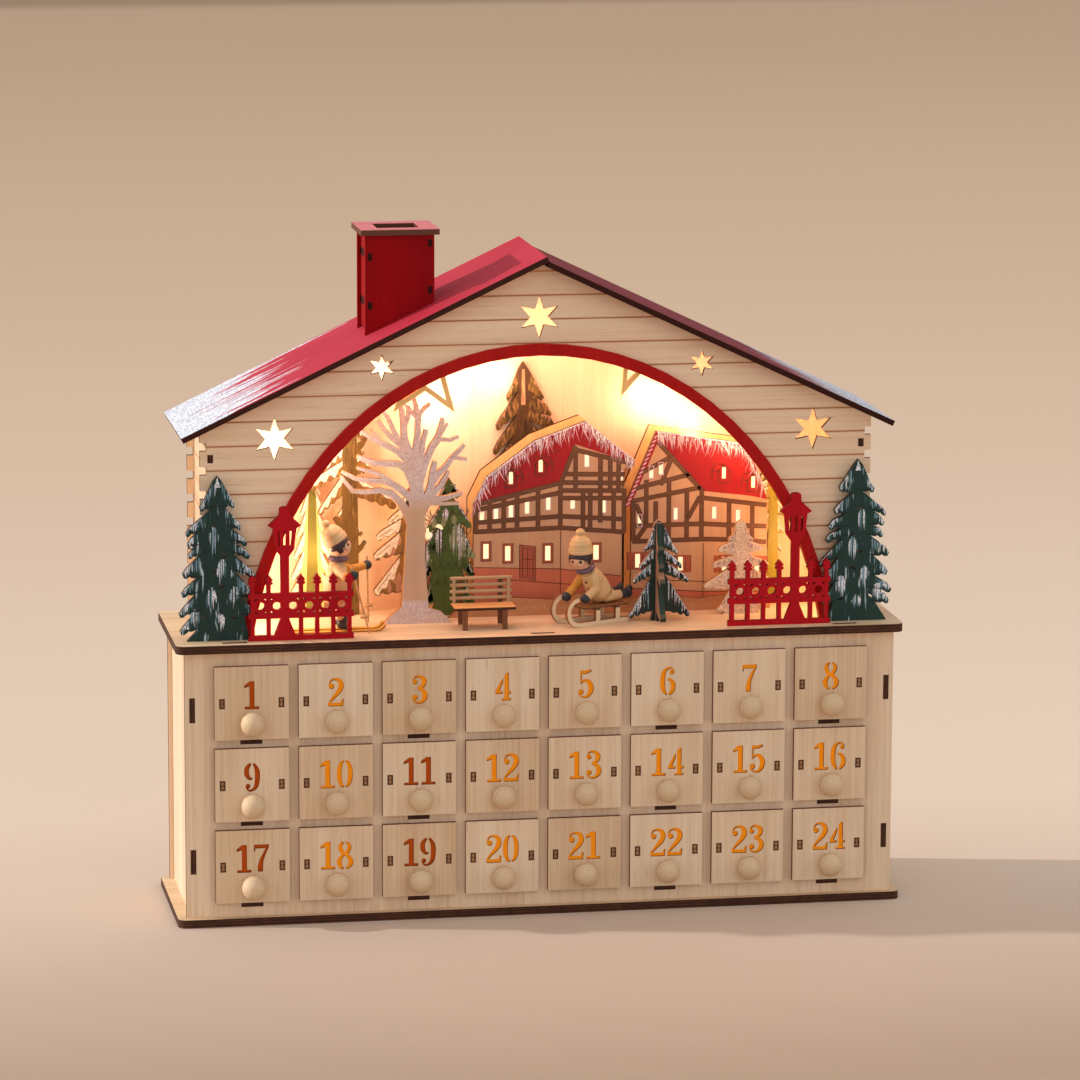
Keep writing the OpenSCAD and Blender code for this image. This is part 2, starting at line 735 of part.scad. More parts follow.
module lamp_fence() {
    start = -2 * picket_pitch;
    end = (pickets - 3) * picket_pitch;
    difference() {
        union() {
            for (i = [0:pickets - 1]) if (i != 2) picket(start + i * picket_pitch);
            for (share = rail_shares)
                translate([start - picket_w, share * fence_h]) square([end - start + 2 * picket_w, rail_h]);
            for (i = [0:pickets - 2]) fence_ring(start + (i + 0.5) * picket_pitch);
            polygon(mirrored(lamp_shares, lamp_w, lamp_h));
        }
        lamp_panes();
    }
}
module lamp_fences() {
    color("Crimson") {
        standing(-lamp_x, fence_y, picket_pitch) lamp_fence();
        standing(lamp_x, fence_y, -picket_pitch) mirror([1, 0]) lamp_fence();
    }
}

// Needles that hang in lobes under a bough from its tip back to its root, and die away at the root
function needles(tip, root, lobes, drop) = [
    for (i = [0:lobes - 1], p = [[0.2, 0.85], [0.55, 1], [1, 0.25]])
        let (t = (i + p[0]) / lobes) tip + (root - tip) * t - [0, drop * p[1] * (1 - t)]];
// A fir's tiers: share of the half width and of the height at each bough's tip, then at the root below it
function roots(tiers, side, w, h) = concat(
    [[side * 0.055 * w, 0.97 * h]], [for (tier = tiers) [side * tier[2] * w / 2, tier[3] * h]]);
function reversed(list) = [for (i = [len(list) - 1:-1:0]) list[i]];
module boughs(tiers, side, w, h, lobes, drop) {
    root = roots(tiers, side, w, h);
    for (i = [0:len(tiers) - 1]) {
        tip = [side * tiers[i][0] * w / 2, tiers[i][1] * h];
        heart = [0, (root[i][1] + root[i + 1][1]) / 2];
        outline = concat(
            [heart, root[i], tip + [-side * 0.05 * w, 0.035 * h], tip],
            needles(tip, root[i + 1], lobes, drop));
        polygon(side < 0 ? outline : reversed(outline));
    }
}
// A spine through the roots of the boughs, and each bough with its needles
module fir(right_tiers, left_tiers, w, h, foot_share, lobes, drop_share) {
    polygon(concat(
        [[0, h]], roots(left_tiers, -1, w, h), [[-foot_share * w / 2, 0], [foot_share * w / 2, 0]],
        reversed(roots(right_tiers, 1, w, h))));
    boughs(right_tiers, 1, w, h, lobes, drop_share * h);
    boughs(left_tiers, -1, w, h, lobes, drop_share * h);
}
// A leaf-shaped nick through a fir, at shares of its half width and height
module nick(place, w, h) {
    nick_l = w * 0.1;
    nick_w = w * 0.02;
    translate([place[0] * w / 2, place[1] * h]) rotate(place[2])
        polygon([[-nick_l / 2, 0], [0, -nick_w], [nick_l / 2, 0], [0, nick_w]]);
}
left_pine_right_shares = [
    [0.44, 0.83, 0.18, 0.81], [0.6, 0.69, 0.32, 0.685], [0.75, 0.59, 0.37, 0.6], [0.82, 0.51, 0.36, 0.53],
    [0.96, 0.39, 0.42, 0.42], [0.93, 0.27, 0.6, 0.26], [0.98, 0.15, 0.66, 0.15]];
left_pine_left_shares = [
    [0.46, 0.81, 0.13, 0.805], [0.81, 0.655, 0.49, 0.664], [0.77, 0.593, 0.56, 0.58],
    [0.75, 0.523, 0.455, 0.523], [0.9, 0.41, 0.52, 0.386], [0.93, 0.29, 0.56, 0.29],
    [1.0, 0.166, 0.56, 0.178], [0.98, 0.06, 0.5, 0.075]];
right_pine_left_shares = [
    [0.49, 0.83, 0.19, 0.787], [0.615, 0.688, 0.315, 0.665], [0.757, 0.59, 0.39, 0.58],
    [0.836, 0.506, 0.38, 0.517], [1.0, 0.354, 0.47, 0.407], [0.95, 0.24, 0.6, 0.24],
    [0.9, 0.12, 0.62, 0.12]];
right_pine_right_shares = [
    [0.44, 0.817, 0.12, 0.8], [0.757, 0.665, 0.44, 0.677], [0.71, 0.61, 0.38, 0.59],
    [0.69, 0.536, 0.35, 0.525], [0.85, 0.42, 0.44, 0.4], [0.82, 0.304, 0.47, 0.278],
    [0.93, 0.19, 0.44, 0.19], [0.87, 0.125, 0.5, 0.11]];
pine_nick_shares = [
    [-0.1, 0.69, 40], [0.15, 0.53, 120], [-0.05, 0.43, 10], [0.1, 0.33, 30], [0.42, 0.28, -10],
    [-0.38, 0.15, 40], [0.4, 0.14, -20], [0.72, 0.28, -20]];
pine_foot_share = 0.8;
module corner_pines() {
    color("DarkGreen") {
        standing(-pine_x, pine_y) difference() {
            fir(left_pine_right_shares, left_pine_left_shares, pine_w, pine_h, pine_foot_share, 2, 0.028);
            for (place = pine_nick_shares) nick(place, pine_w, pine_h);
        }
        standing(pine_x, pine_y) difference() {
            fir(
                right_pine_right_shares, right_pine_left_shares, pine_w, pine_h, pine_foot_share, 2, 0.028);
            for (place = pine_nick_shares) nick([-place[0], place[1], -place[2]], pine_w, pine_h);
        }
    }
}
fir_shares = [
    [0.34, 0.8, 0.16, 0.81], [0.52, 0.66, 0.26, 0.68], [0.66, 0.52, 0.32, 0.55], [0.8, 0.38, 0.36, 0.42],
    [0.92, 0.24, 0.4, 0.28], [1, 0.12, 0.5, 0.13]];
white_shares = [
    [0.34, 0.8, 0.12, 0.79], [0.61, 0.7, 0.19, 0.63], [0.77, 0.53, 0.28, 0.5], [1, 0.31, 0.28, 0.27],
    [0.64, 0.06, 0.4, 0.03]];
crossed_right_shares = [
    [0.6, 0.69, 0.12, 0.73], [0.74, 0.55, 0.16, 0.6], [0.95, 0.41, 0.2, 0.46], [1, 0.07, 0.16, 0.1]];
crossed_left_shares = [
    [0.44, 0.72, 0.12, 0.74], [0.58, 0.55, 0.16, 0.6], [0.78, 0.41, 0.2, 0.45], [0.9, 0.07, 0.16, 0.1]];
spruce_right_shares = [
    [0.44, 0.86, 0.12, 0.88], [0.61, 0.79, 0.07, 0.81], [0.7, 0.74, 0.08, 0.76], [0.76, 0.64, 0.1, 0.68],
    [0.84, 0.54, 0.1, 0.59], [0.92, 0.43, 0.12, 0.49], [1, 0.3, 0.14, 0.36]];
spruce_left_shares = [
    [0.36, 0.86, 0.06, 0.89], [0.6, 0.74, 0.11, 0.79], [0.66, 0.64, 0.14, 0.71], [0.74, 0.55, 0.12, 0.61],
    [0.84, 0.44, 0.12, 0.51], [1, 0.31, 0.14, 0.4]];
golden_right_shares = [
    [0.2, 0.85, 0.06, 0.86], [0.25, 0.79, 0.07, 0.79], [0.27, 0.72, 0.07, 0.7], [0.4, 0.65, 0.08, 0.61],
    [0.96, 0.48, 0.09, 0.52], [0.23, 0.37, 0.09, 0.35]];
golden_left_shares = [
    [0.2, 0.87, 0.06, 0.86], [0.34, 0.76, 0.1, 0.76], [0.54, 0.65, 0.12, 0.68], [0.81, 0.57, 0.13, 0.62],
    [0.65, 0.46, 0.13, 0.53], [0.25, 0.44, 0.11, 0.41]];
moss_right_shares = [
    [0.28, 0.8, 0.1, 0.78], [0.4, 0.7, 0.09, 0.68], [0.36, 0.6, 0.09, 0.58], [0.27, 0.48, 0.1, 0.46],
    [0.22, 0.36, 0.1, 0.35]];
moss_left_shares = [
    [0.3, 0.84, 0.1, 0.83], [0.4, 0.76, 0.12, 0.77], [0.64, 0.71, 0.12, 0.68], [0.71, 0.6, 0.1, 0.59],
    [0.54, 0.47, 0.11, 0.47], [0.24, 0.2, 0.1, 0.18]];
bushy_right_shares = [
    [0.38, 0.9, 0.17, 0.86], [0.84, 0.68, 0.5, 0.66], [1, 0.46, 0.78, 0.42], [1, 0.31, 0.55, 0.34],
    [0.96, 0.12, 0.6, 0.1]];
bushy_left_shares = [
    [0.4, 0.87, 0.2, 0.84], [0.85, 0.66, 0.55, 0.64], [1, 0.5, 0.8, 0.46], [1, 0.32, 0.7, 0.33],
    [0.96, 0.13, 0.6, 0.1]];
broad_shares = [
    [0.34, 0.85, 0.16, 0.86], [0.62, 0.74, 0.22, 0.76], [0.93, 0.62, 0.25, 0.66], [1, 0.47, 0.25, 0.48],
    [1, 0.2, 0.25, 0.18]];
// Kinds of tree in the wood: right and left tiers, foot, lobes and drop of the needles, width of the trunk
wood_kind_shares = [
    [fir_shares, fir_shares, 0.5, 2, 0.03, 0.24],
    [golden_right_shares, golden_left_shares, 0.13, 4, 0.03, 0.09],
    [moss_right_shares, moss_left_shares, 0.13, 3, 0.03, 0.1],
    [bushy_right_shares, bushy_left_shares, 0.8, 3, 0.06, 0.2],
    [broad_shares, broad_shares, 0.3, 3, 0.05, 0.14]];
trunk_share = 0.14;
module crossed_side() {
    fir(crossed_right_shares, crossed_left_shares, crossed_fir_w, crossed_fir_h, 0.24, 4, 0.05);
}
module crossed_fir() {
    x = stage_x(crossed_fir_place_shares[0]);
    y = stage_y(crossed_fir_place_shares[1]);
    halving = crossed_fir_h / 2;
    color("DarkGreen") on_stage() {
        upright(y - ply_t / 2) translate([x, 0]) difference() {
            crossed_side();
            tenon(0, -overrun, ply_t + 2 * slot_slack, halving + overrun);
        }
        crosswise(x - ply_t / 2) translate([y, 0]) difference() {
            crossed_side();
            tenon(0, halving, ply_t + 2 * slot_slack, crossed_fir_h);
        }
    }
}
module tall_spruce() {
    color("SaddleBrown") standing(stage_x(spruce_place_shares[0]), stage_y(spruce_place_shares[1]))
        fir(spruce_right_shares, spruce_left_shares, spruce_w, spruce_h, trunk_share, 3, 0.028);
}
module white_fir() {
    color("White") standing(stage_x(white_fir_place_shares[0]), stage_y(white_fir_place_shares[1]))
        fir(white_shares, white_shares, white_fir_w, white_fir_h, 0.5, 3, 0.035);
}
module wood_tree(kind, w, h) {
    fir(kind[0], kind[1], w, h, kind[2], kind[3], kind[4]);
    polygon([
        [-kind[5] * w / 2, 0], [kind[5] * w / 2, 0], [0.3 * kind[5] * w, h * 0.9],
        [-0.3 * kind[5] * w, h * 0.9]]);
}
module forest_trees() {
    color("DarkOliveGreen")
        for (tree = wood_shares)
            standing(stage_x(tree[0]), stage_y(tree[1]))
                wood_tree(wood_kind_shares[tree[4]], tree[3] * spruce_w, tree[2] * spruce_h);
}

// A bough of the bare tree: a strip along a route. Each point holds hundredths of the tree's width and
// height, and the bough's thickness there in hundredths of the width
function scaled(route) = [for (p = route) [p[0] * bare_tree_w, p[1] * bare_tree_h] / 100];
function heading(route, i) =
    let (a = route[max(i - 1, 0)], b = route[min(i + 1, len(route) - 1)], d = b - a) d / norm(d);
function limb_side(points, side) =
    let (route = scaled(points)) [
        for (i = [0:len(route) - 1])
            let (d = heading(route, i), t = side * points[i][2] * bare_tree_w / 200)
                route[i] + [-d[1] * t, d[0] * t]];
module limb(points) {
    polygon(concat(limb_side(points, -1), reversed(limb_side(points, 1))));
}
trunk_route = [
    [-1, 0, 23.5], [-0.5, 7.5, 22], [-0.5, 15, 20], [-0.5, 28, 17],
    [0, 41, 15], [1, 50.5, 13], [1, 58.5, 11.5], [0.5, 66, 10]];
// Routes of the boughs from the trunk outwards
bough_routes = [
    [[-3, 43.5, 8], [-8, 49.5, 7], [-13, 53.5, 6], [-19.5, 57, 5.5],
        [-29.5, 58.5, 4.5], [-41, 58, 4], [-51.5, 58.5, 4], [-61.5, 65, 2.5]],
    [[-2, 54, 7.5], [-9.5, 57.5, 6], [-17, 60.5, 5], [-26, 62.5, 4],
        [-39, 63, 4], [-50, 64, 3.5], [-60.5, 67, 2.5]],
    [[-13, 58.5, 4], [-20.5, 62, 4], [-29.5, 65.5, 3.5], [-48, 68.5, 2.5]],
    [[-1.5, 61, 7.5], [-6.5, 66.5, 6], [-13, 69.5, 5.5], [-34, 70.5, 4.5],
        [-42.5, 72, 4], [-48, 73.5, 3]],
    [[-1.5, 63.5, 6], [-8, 71.5, 5], [-15.5, 75.5, 5], [-24.5, 78, 4.5],
        [-32.5, 80, 4], [-48, 85.5, 2.5]],
    [[-27.5, 78, 3.5], [-31.5, 81.5, 3], [-36, 84.5, 2]],
    [[0.5, 65.5, 6], [-6.5, 73, 5], [-12, 78, 5], [-20, 81.5, 4.5],
        [-26, 85, 4], [-30, 88.5, 3.5]],
    [[-12, 78.5, 4], [-18, 84.5, 3.5], [-22, 89.5, 3.5], [-27, 93, 2.5]],
    [[1, 68, 6], [-4.5, 75, 5], [-9, 80.5, 5.5], [-9.5, 86.5, 5],
        [-11, 92.5, 4], [-13.5, 97.5, 3]],
    [[-9.5, 85.5, 4], [-5.5, 90.5, 3.5], [-5.5, 94.5, 2.5]],
    [[1, 67, 7], [0.5, 75.5, 5.5], [2, 82, 5], [2, 88.5, 4.5],
        [0.5, 95, 3.5], [-3, 100, 2.5]],
    [[1, 89.5, 3.5], [-4, 93, 3], [-8, 95, 2]],
    [[2, 84.5, 4], [3.5, 91, 3.5], [7.5, 93.5, 3], [12.5, 95.5, 2.5]],
    [[2, 62, 6], [5, 70.5, 4.5], [6, 78, 4], [9, 84.5, 3.5]],
    [[1.5, 57.5, 6], [7.5, 68.5, 5], [13.5, 76.5, 5.5], [18.5, 81, 4.5],
        [21, 85, 4], [22.5, 89, 3]],
    [[17.5, 80, 4], [22.5, 84, 3.5], [26.5, 87, 2.5]],
    [[15, 77, 4.5], [20, 80, 3.5], [28.5, 79.5, 3], [35.5, 81, 2.5]],
    [[3.5, 47, 9], [9, 53, 7.5], [13, 60, 6], [14.5, 66, 5],
        [16, 70.5, 3.5]],
    [[13, 61, 5], [19, 65, 5], [25, 68, 4.5], [30.5, 72, 4],
        [36.5, 75, 3.5], [40.5, 77.5, 2.5]],
    [[30.5, 72, 3.5], [35.5, 71.5, 3], [42.5, 71, 2.5]],
    [[7.5, 50.5, 6.5], [15, 56.5, 5], [21, 60, 4.5], [27.5, 66, 2.5]],
    [[10, 52.5, 5.5], [16.5, 54, 4.5], [25, 54.5, 4], [39, 56.5, 2.5]],
    [[13.5, 52.5, 4], [24, 52, 3], [35.5, 52, 2.5]]];
mound_outline = [
    [-26.5, 0], [29, 0], [27.5, 1.5], [21, 5], [12, 6.5], [-0.5, 8],
    [-13, 7], [-21.5, 3.5]];
module bare_tree() {
    color("LavenderBlush") standing(stage_x(bare_tree_place_shares[0]),
        stage_y(bare_tree_place_shares[1])) {
        limb(trunk_route);
        for (route = bough_routes) limb(route);
        polygon(scaled(mound_outline));
    }
}

// Cottage fronts: outline and windows as shares of the cottage's width and height from its lower left corner
left_cottage_shares = [
    [0, 0], [0.92, 0], [0.92, 0.74], [1, 0.787], [0.69, 1], [0.38, 0.905], [0.082, 0.722], [0, 0.58]];
right_cottage_shares = [
    [0.05, 0], [1, 0], [1, 0.6], [0.86, 0.915], [0.22, 1], [0, 0.574], [0.05, 0.585]];
left_window_shares = [
    [0.052, 0.508], [0.138, 0.521], [0.231, 0.539], [0.331, 0.556], [0.462, 0.573], [0.613, 0.575],
    [0.806, 0.55], [0.7, 0.794], [0.91, 0.7], [0.23, 0.713], [0.414, 0.772]];
left_lower_shares = [[0.077, 0.331], [0.212, 0.317], [0.46, 0.312], [0.76, 0.309]];
right_window_shares = [
    [0.188, 0.77], [0.255, 0.789], [0.109, 0.5], [0.36, 0.533], [0.629, 0.533], [0.796, 0.512],
    [0.694, 0.756], [0.9, 0.7]];
right_lower_shares = [[0.097, 0.275], [0.396, 0.251], [0.704, 0.244], [0.932, 0.233]];
window_w_share = 0.026;
window_h_share = 0.064;
lower_w_share = 0.034;
lower_h_share = 0.078;
cottage_tenon_x = left_cottage_w * 0.45;
module cottage(outline, windows, lower, w, h, rim = 0) {
    difference() {
        for (grow = [0, rim]) translate([-grow, grow]) polygon([for (p = outline) [p[0] * w, p[1] * h]]);
        for (p = windows) tenon(p[0] * w, (p[1] - window_h_share / 2) * h, window_w_share * w,
            window_h_share * h);
        for (p = lower) tenon(p[0] * w, (p[1] - lower_h_share / 2) * h, lower_w_share * w,
            lower_h_share * h);
    }
}
module left_cottage(rim = 0) {
    cottage(left_cottage_shares, left_window_shares, left_lower_shares, left_cottage_w, left_cottage_h,
        rim);
}
module right_cottage(rim = 0) {
    cottage(right_cottage_shares, right_window_shares, right_lower_shares, right_cottage_w,
        right_cottage_h, rim);
}
module cottage_left() {
    color("IndianRed") standing(stage_x(left_cottage_place_shares[0]),
        stage_y(left_cottage_place_shares[1]),
        cottage_tenon_x, foot_tenon_w) left_cottage();
}
module cottage_right() {
    color("IndianRed") standing(stage_x(right_cottage_place_shares[0]),
        stage_y(right_cottage_place_shares[1]),
        cottage_tenon_x, foot_tenon_w) right_cottage();
}
module cottage_backings() {
    dy = ply_t + backing_gap;
    color("Wheat") {
        standing(stage_x(left_cottage_place_shares[0]), stage_y(left_cottage_place_shares[1]) + dy,
            cottage_tenon_x, foot_tenon_w) left_cottage(backing_rim);
        standing(stage_x(right_cottage_place_shares[0]), stage_y(right_cottage_place_shares[1]) + dy,
            cottage_tenon_x, foot_tenon_w) right_cottage(backing_rim);
    }
}
// A low drift of snow before the cottages: its crest as shares of the cottages' width and of its own height
bank_shares = [
    [0, 0], [2, 0], [2, 0.5], [1.8, 0.75], [1.55, 0.55], [1.3, 0.8], [1.05, 0.6], [0.85, 1], [0.65, 0.7],
    [0.4, 0.85], [0.2, 0.5], [0.05, 0.35]];
module snow_bank() {
    color("SeaShell") on_stage() upright(stage_y(bank_place_shares[1]))
        translate([stage_x(bank_place_shares[0]), 0])
            polygon([for (p = bank_shares) [p[0] * left_cottage_w, p[1] * bank_h]]);
}

module bench() {
    x = stage_x(bench_place_shares[0]) - bench_w / 2;
    y = stage_y(bench_place_shares[1]);
    frame_inset = bench_w * 0.14;
    slats = 4;
    slat_pitch = (bench_h - seat_h - bench_t) / slats;
    color("Tan") on_stage() translate([x, y, 0]) {
        for (side_x = [frame_inset, bench_w - frame_inset - bench_leg])
            crosswise(side_x, bench_leg) polygon([
                [0, 0], [bench_leg, 0], [bench_leg, seat_h - 2 * bench_t],
                [bench_d - bench_leg, seat_h - 2 * bench_t], [bench_d - bench_leg, 0], [bench_d, 0],
                [bench_d, bench_h], [bench_d - bench_leg / 2, bench_h], [bench_d - bench_leg / 2, seat_h],
                [0, seat_h]]);
        flat(seat_h, bench_t) square([bench_w, bench_d - bench_leg / 2 - bench_t]);
        for (i = [0:slats - 1])
            translate([0, bench_d - bench_leg / 2 - bench_t, seat_h + bench_t + (i + 1)
                * slat_pitch - slat_h])
                cube([bench_w, bench_t, slat_h]);
    }
}

// The sledge points to the left and a little to the front
sledge_turn = 26;
module runner() {
    difference() {
        translate([0, curl_r]) circle(r = curl_r);
        translate([0, curl_r]) circle(r = curl_r - runner_h);
        translate([0, runner_h]) square([curl_r, 2 * curl_r]);
    }
    square([runner_l, runner_h]);
    for (share = [0.35, 0.75]) translate([share * runner_l, 0]) square([runner_h, curl_r]);
}
module sledge_place() {
    on_stage() translate([stage_x(sledge_place_shares[0]), stage_y(sledge_place_shares[1]), 0])
        rotate([0, 0, sledge_turn]) children();
}
module sledge() {
    color("White") sledge_place() {
        for (y = [0, sledge_w - runner_t]) upright(y, runner_t) runner();
        flat(curl_r, deck_t) translate([curl_r / 2, 0]) square([runner_l - curl_r / 2, sledge_w]);
    }
}
// Turned parts of a figure: a round limb from one point to another, a ball, a bell-shaped body and a head
module rod(a, b, r) {
    d = b - a;
    translate(a) rotate([0, acos(d[2] / norm(d)), atan2(d[1], d[0])]) cylinder(r = r, h = norm(d));
}
module ball(place, r) {
    translate(place) sphere(r = r);
}
module turned_body() {
    rotate_extrude() polygon([
        [0, 0], [body_r * 0.9, 0], [body_r, body_l * 0.15], [body_r, body_l * 0.4], [body_r * 0.8,
            body_l * 0.75],
        [body_r * 0.45, body_l], [0, body_l]]);
}
module turned_head() {
    pom_r = head_r * 0.42;
    face = [for (angle = [-90:10:30]) [head_r * cos(angle), head_r * sin(angle)]];
    hat = [for (p = [[1.03, 0.5], [1.01, 1.1], [0.94, 1.5], [0.8, 1.8]]) p * head_r];
    pom = [for (angle = [-20:20:70]) [pom_r * cos(angle), head_r * 2.2 + pom_r * sin(angle)]];
    rotate_extrude() polygon(concat(face, hat, pom, [[0, head_r * 2.2 + pom_r]]));
}
module sledge_rider() {
    deck_z = curl_r + deck_t;
    lean = 58;
    hip = [runner_l * 0.63, sledge_w / 2, deck_z + body_r * 0.92 * cos(lean)];
    up = [-cos(lean), 0, sin(lean)];
    neck = hip + body_l * up;
    color("NavajoWhite") sledge_place() {
        translate(hip) rotate([0, lean - 90, 0]) turned_body();
        translate(neck + head_r * 0.9 * up) turned_head();
        for (side = [-1, 1]) {
            shoulder = neck + [body_l * 0.2, side * body_r * 0.6, -body_r * 0.8];
            hand = [
                arm_r * (1.2 - side * 1.9), sledge_w / 2 + side * sledge_w * 0.18,
                deck_z + body_r * (0.66 + side * 0.09)];
            boot = [hip[0] + body_r * 2.5, hip[1] + side * body_r * 0.6, deck_z + leg_r * 1.6];
            rod(shoulder, hand, arm_r);
            ball(hand, arm_r * 1.4);
            rod([hip[0], hip[1] + side * body_r * 0.45, deck_z + leg_r * 1.1], boot, leg_r);
            ball(boot, leg_r * 1.25);
        }
    }
}
// The skier leans forward to the right on two skis, with a pole in each hand
module skier() {
    x = stage_x(skier_place_shares[0]);
    y = stage_y(skier_place_shares[1]);
    ski_t = pole_r * 2;
    ski_gap = 2 * leg_r + ski_w / 2;
    hip = [-body_l * 0.14, ski_gap / 2, body_l * 0.92];
    neck = hip + [body_l * 0.05, 0, body_l];
    color("NavajoWhite") on_stage() translate([x, y, 0]) {
        for (side = [-0.5, 0.5]) {
            lane = ski_gap / 2 + side * ski_gap;
            boot = [0, lane, ski_t + leg_r];
            hand = neck + [
                body_l * (0.65 + side * 0.43), side * body_r * 2.4, -body_l * (0.32 - side * 0.09)];
            grip = hand + [0, 0, arm_r * 2];
            tip = [hand[0] + arm_r * (2 - side * 2), hand[1], ski_t];
            translate([-ski_l * 0.54, lane - ski_w / 2, 0]) cube([ski_l, ski_w, ski_t]);
            rod(boot, hip + [0, side * leg_r * 2.2, body_r * 0.6], leg_r);
            ball(boot, leg_r * 1.3);
            rod(neck + [0, side * body_r, -body_l * 0.25], hand, arm_r);
            ball(hand, arm_r * 1.4);
            rod(grip, tip, pole_r);
            rod(tip + (grip - tip) * 0.3, tip + (grip - tip) * 0.335, arm_r);
        }
        translate(hip) rotate([0, 3, 0]) turned_body();
        translate(neck + [head_r * 0.27, 0, head_r * 0.84]) rotate([0, -30, 0]) turned_head();
    }
}

// Lamps behind the house front, above and beside the arch
module led_lights() {
    color("Gold") on_stage()
        for (angle = led_angles)
            translate([
                (arch_a + led_gap) * cos(angle), house_y + ply_t, -arch_drop + (arch_b + led_gap)
                    * sin(angle)])
                rotate([-90, 0, 0]) {
                    cylinder(r = led_r * 1.16, h = led_l * 0.2);
                    cylinder(r = led_r, h = led_l);
                    translate([0, 0, led_l]) sphere(r = led_r);
                }
}

// The battery box sits in the house back: its thick flange outside, its well inside
flange_y = rear_y + ply_t;
well_y = flange_y + flange_t - cell_space_d - box_wall;
switch_bay_w = switch_travel + switch_knob + 2 * box_wall;
flange_left = -battery_hole_w / 2 - flange_w;
flange_right = battery_hole_w / 2 + flange_w + switch_bay_w;
cover_y = flange_y + flange_t + slot_slack;
rail_y = cover_y + cover_t + slot_slack;
cover_low = battery_z - box_wall + slot_slack;
cover_h = battery_hole_h + 2 * (box_wall - slot_slack);
switch_z = battery_z + battery_hole_h / 2 - switch_knob / 2;
module at_battery() {
    on_stage() translate([battery_x, 0, 0]) children();
}
// Rail that holds one edge of the cover: a spacer beside the cover and a lip over it
module cover_rail(low, high, lip_low, lip_high) {
    upright(flange_y + flange_t, rail_y - flange_y - flange_t)
        translate([-battery_hole_w / 2, low]) square([battery_hole_w, high - low]);
    upright(rail_y, box_wall)
        translate([-battery_hole_w / 2, lip_low]) square([battery_hole_w, lip_high - lip_low]);
}
module battery_box() {
    low = battery_z - flange_w;
    high = battery_z + battery_hole_h + flange_w;
    color("DimGray") at_battery() {
        difference() {
            union() {
                upright(well_y, flange_y - well_y) tenon(0, battery_z, battery_hole_w, battery_hole_h);
                upright(flange_y, flange_t)
                    translate([flange_left, low]) square([flange_right - flange_left, high - low]);
            }
            upright(well_y + box_wall, cell_space_d + overrun)
                tenon(0, battery_z + box_wall, cell_space_w, cell_space_h);
            upright(flange_y + flange_t / 2, flange_t)
                tenon(flange_right - switch_bay_w / 2, switch_z, switch_travel + switch_knob, switch_knob);
        }
        cover_rail(low, cover_low - 2 * slot_slack, low, battery_z + box_wall);
        cover_rail(cover_low + cover_h + 2 * slot_slack, high, high - flange_w - box_wall, high);
    }
}
module battery_cover() {
    color("DimGray") at_battery() upright(cover_y, cover_t) tenon(0, cover_low, battery_hole_w, cover_h);
}
module power_switch() {
    x = flange_right - switch_bay_w / 2 - switch_travel / 2;
    size = switch_knob - 2 * slot_slack;
    color("Black") at_battery() upright(flange_y + flange_t / 2 + slot_slack, flange_t)
        tenon(x, switch_z + slot_slack, size, size);
}

base_plate();
case_front();
case_sides();
case_back();
drawer_shelves();
drawer_dividers();
stage_plate();
drawer(1);  // drawer_01
drawer(2);  // drawer_02
drawer(3);  // drawer_03
drawer(4);  // drawer_04
drawer(5);  // drawer_05
drawer(6);  // drawer_06
drawer(7);  // drawer_07
drawer(8);  // drawer_08
drawer(9);  // drawer_09
drawer(10);  // drawer_10
drawer(11);  // drawer_11
drawer(12);  // drawer_12
drawer(13);  // drawer_13
drawer(14);  // drawer_14
drawer(15);  // drawer_15
drawer(16);  // drawer_16
drawer(17);  // drawer_17
drawer(18);  // drawer_18
drawer(19);  // drawer_19
drawer(20);  // drawer_20
drawer(21);  // drawer_21
drawer(22);  // drawer_22
drawer(23);  // drawer_23
drawer(24);  // drawer_24
house_front();
arch_trim();
house_sides();
house_back();
roof_left();
roof_right();
chimney_walls();
chimney_cap();
hanging_stars();
lamp_fences();
corner_pines();
bare_tree();
cottage_left();
cottage_right();
cottage_backings();
tall_spruce();
forest_trees();
crossed_fir();
white_fir();
snow_bank();
bench();
sledge();
sledge_rider();
skier();
led_lights();
battery_box();
battery_cover();
power_switch();
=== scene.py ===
import math
import bpy
import numpy as np
from mathutils import Matrix, Vector
from mathutils.geometry import delaunay_2d_cdt


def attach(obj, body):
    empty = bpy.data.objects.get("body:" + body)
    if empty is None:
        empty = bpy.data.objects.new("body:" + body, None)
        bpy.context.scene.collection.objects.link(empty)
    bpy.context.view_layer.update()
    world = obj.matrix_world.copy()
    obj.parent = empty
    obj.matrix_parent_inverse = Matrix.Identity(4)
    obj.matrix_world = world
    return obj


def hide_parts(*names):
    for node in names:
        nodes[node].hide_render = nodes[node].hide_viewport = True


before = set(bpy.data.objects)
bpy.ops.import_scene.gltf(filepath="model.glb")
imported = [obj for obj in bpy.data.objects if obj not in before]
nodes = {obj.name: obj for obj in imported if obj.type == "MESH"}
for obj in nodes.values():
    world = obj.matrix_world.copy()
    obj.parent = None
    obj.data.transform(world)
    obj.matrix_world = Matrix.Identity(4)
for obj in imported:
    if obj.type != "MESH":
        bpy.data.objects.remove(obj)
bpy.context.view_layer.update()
bpy.context.scene.view_settings.view_transform = "Standard"

# Drawings are in mm: X from the middle, Y from the cabinet's front, Z from the top of the base plate or stage
mm = 0.001
places = {"middleY": 39.85, "caseZ": 4.5, "stageZ": 153.6}

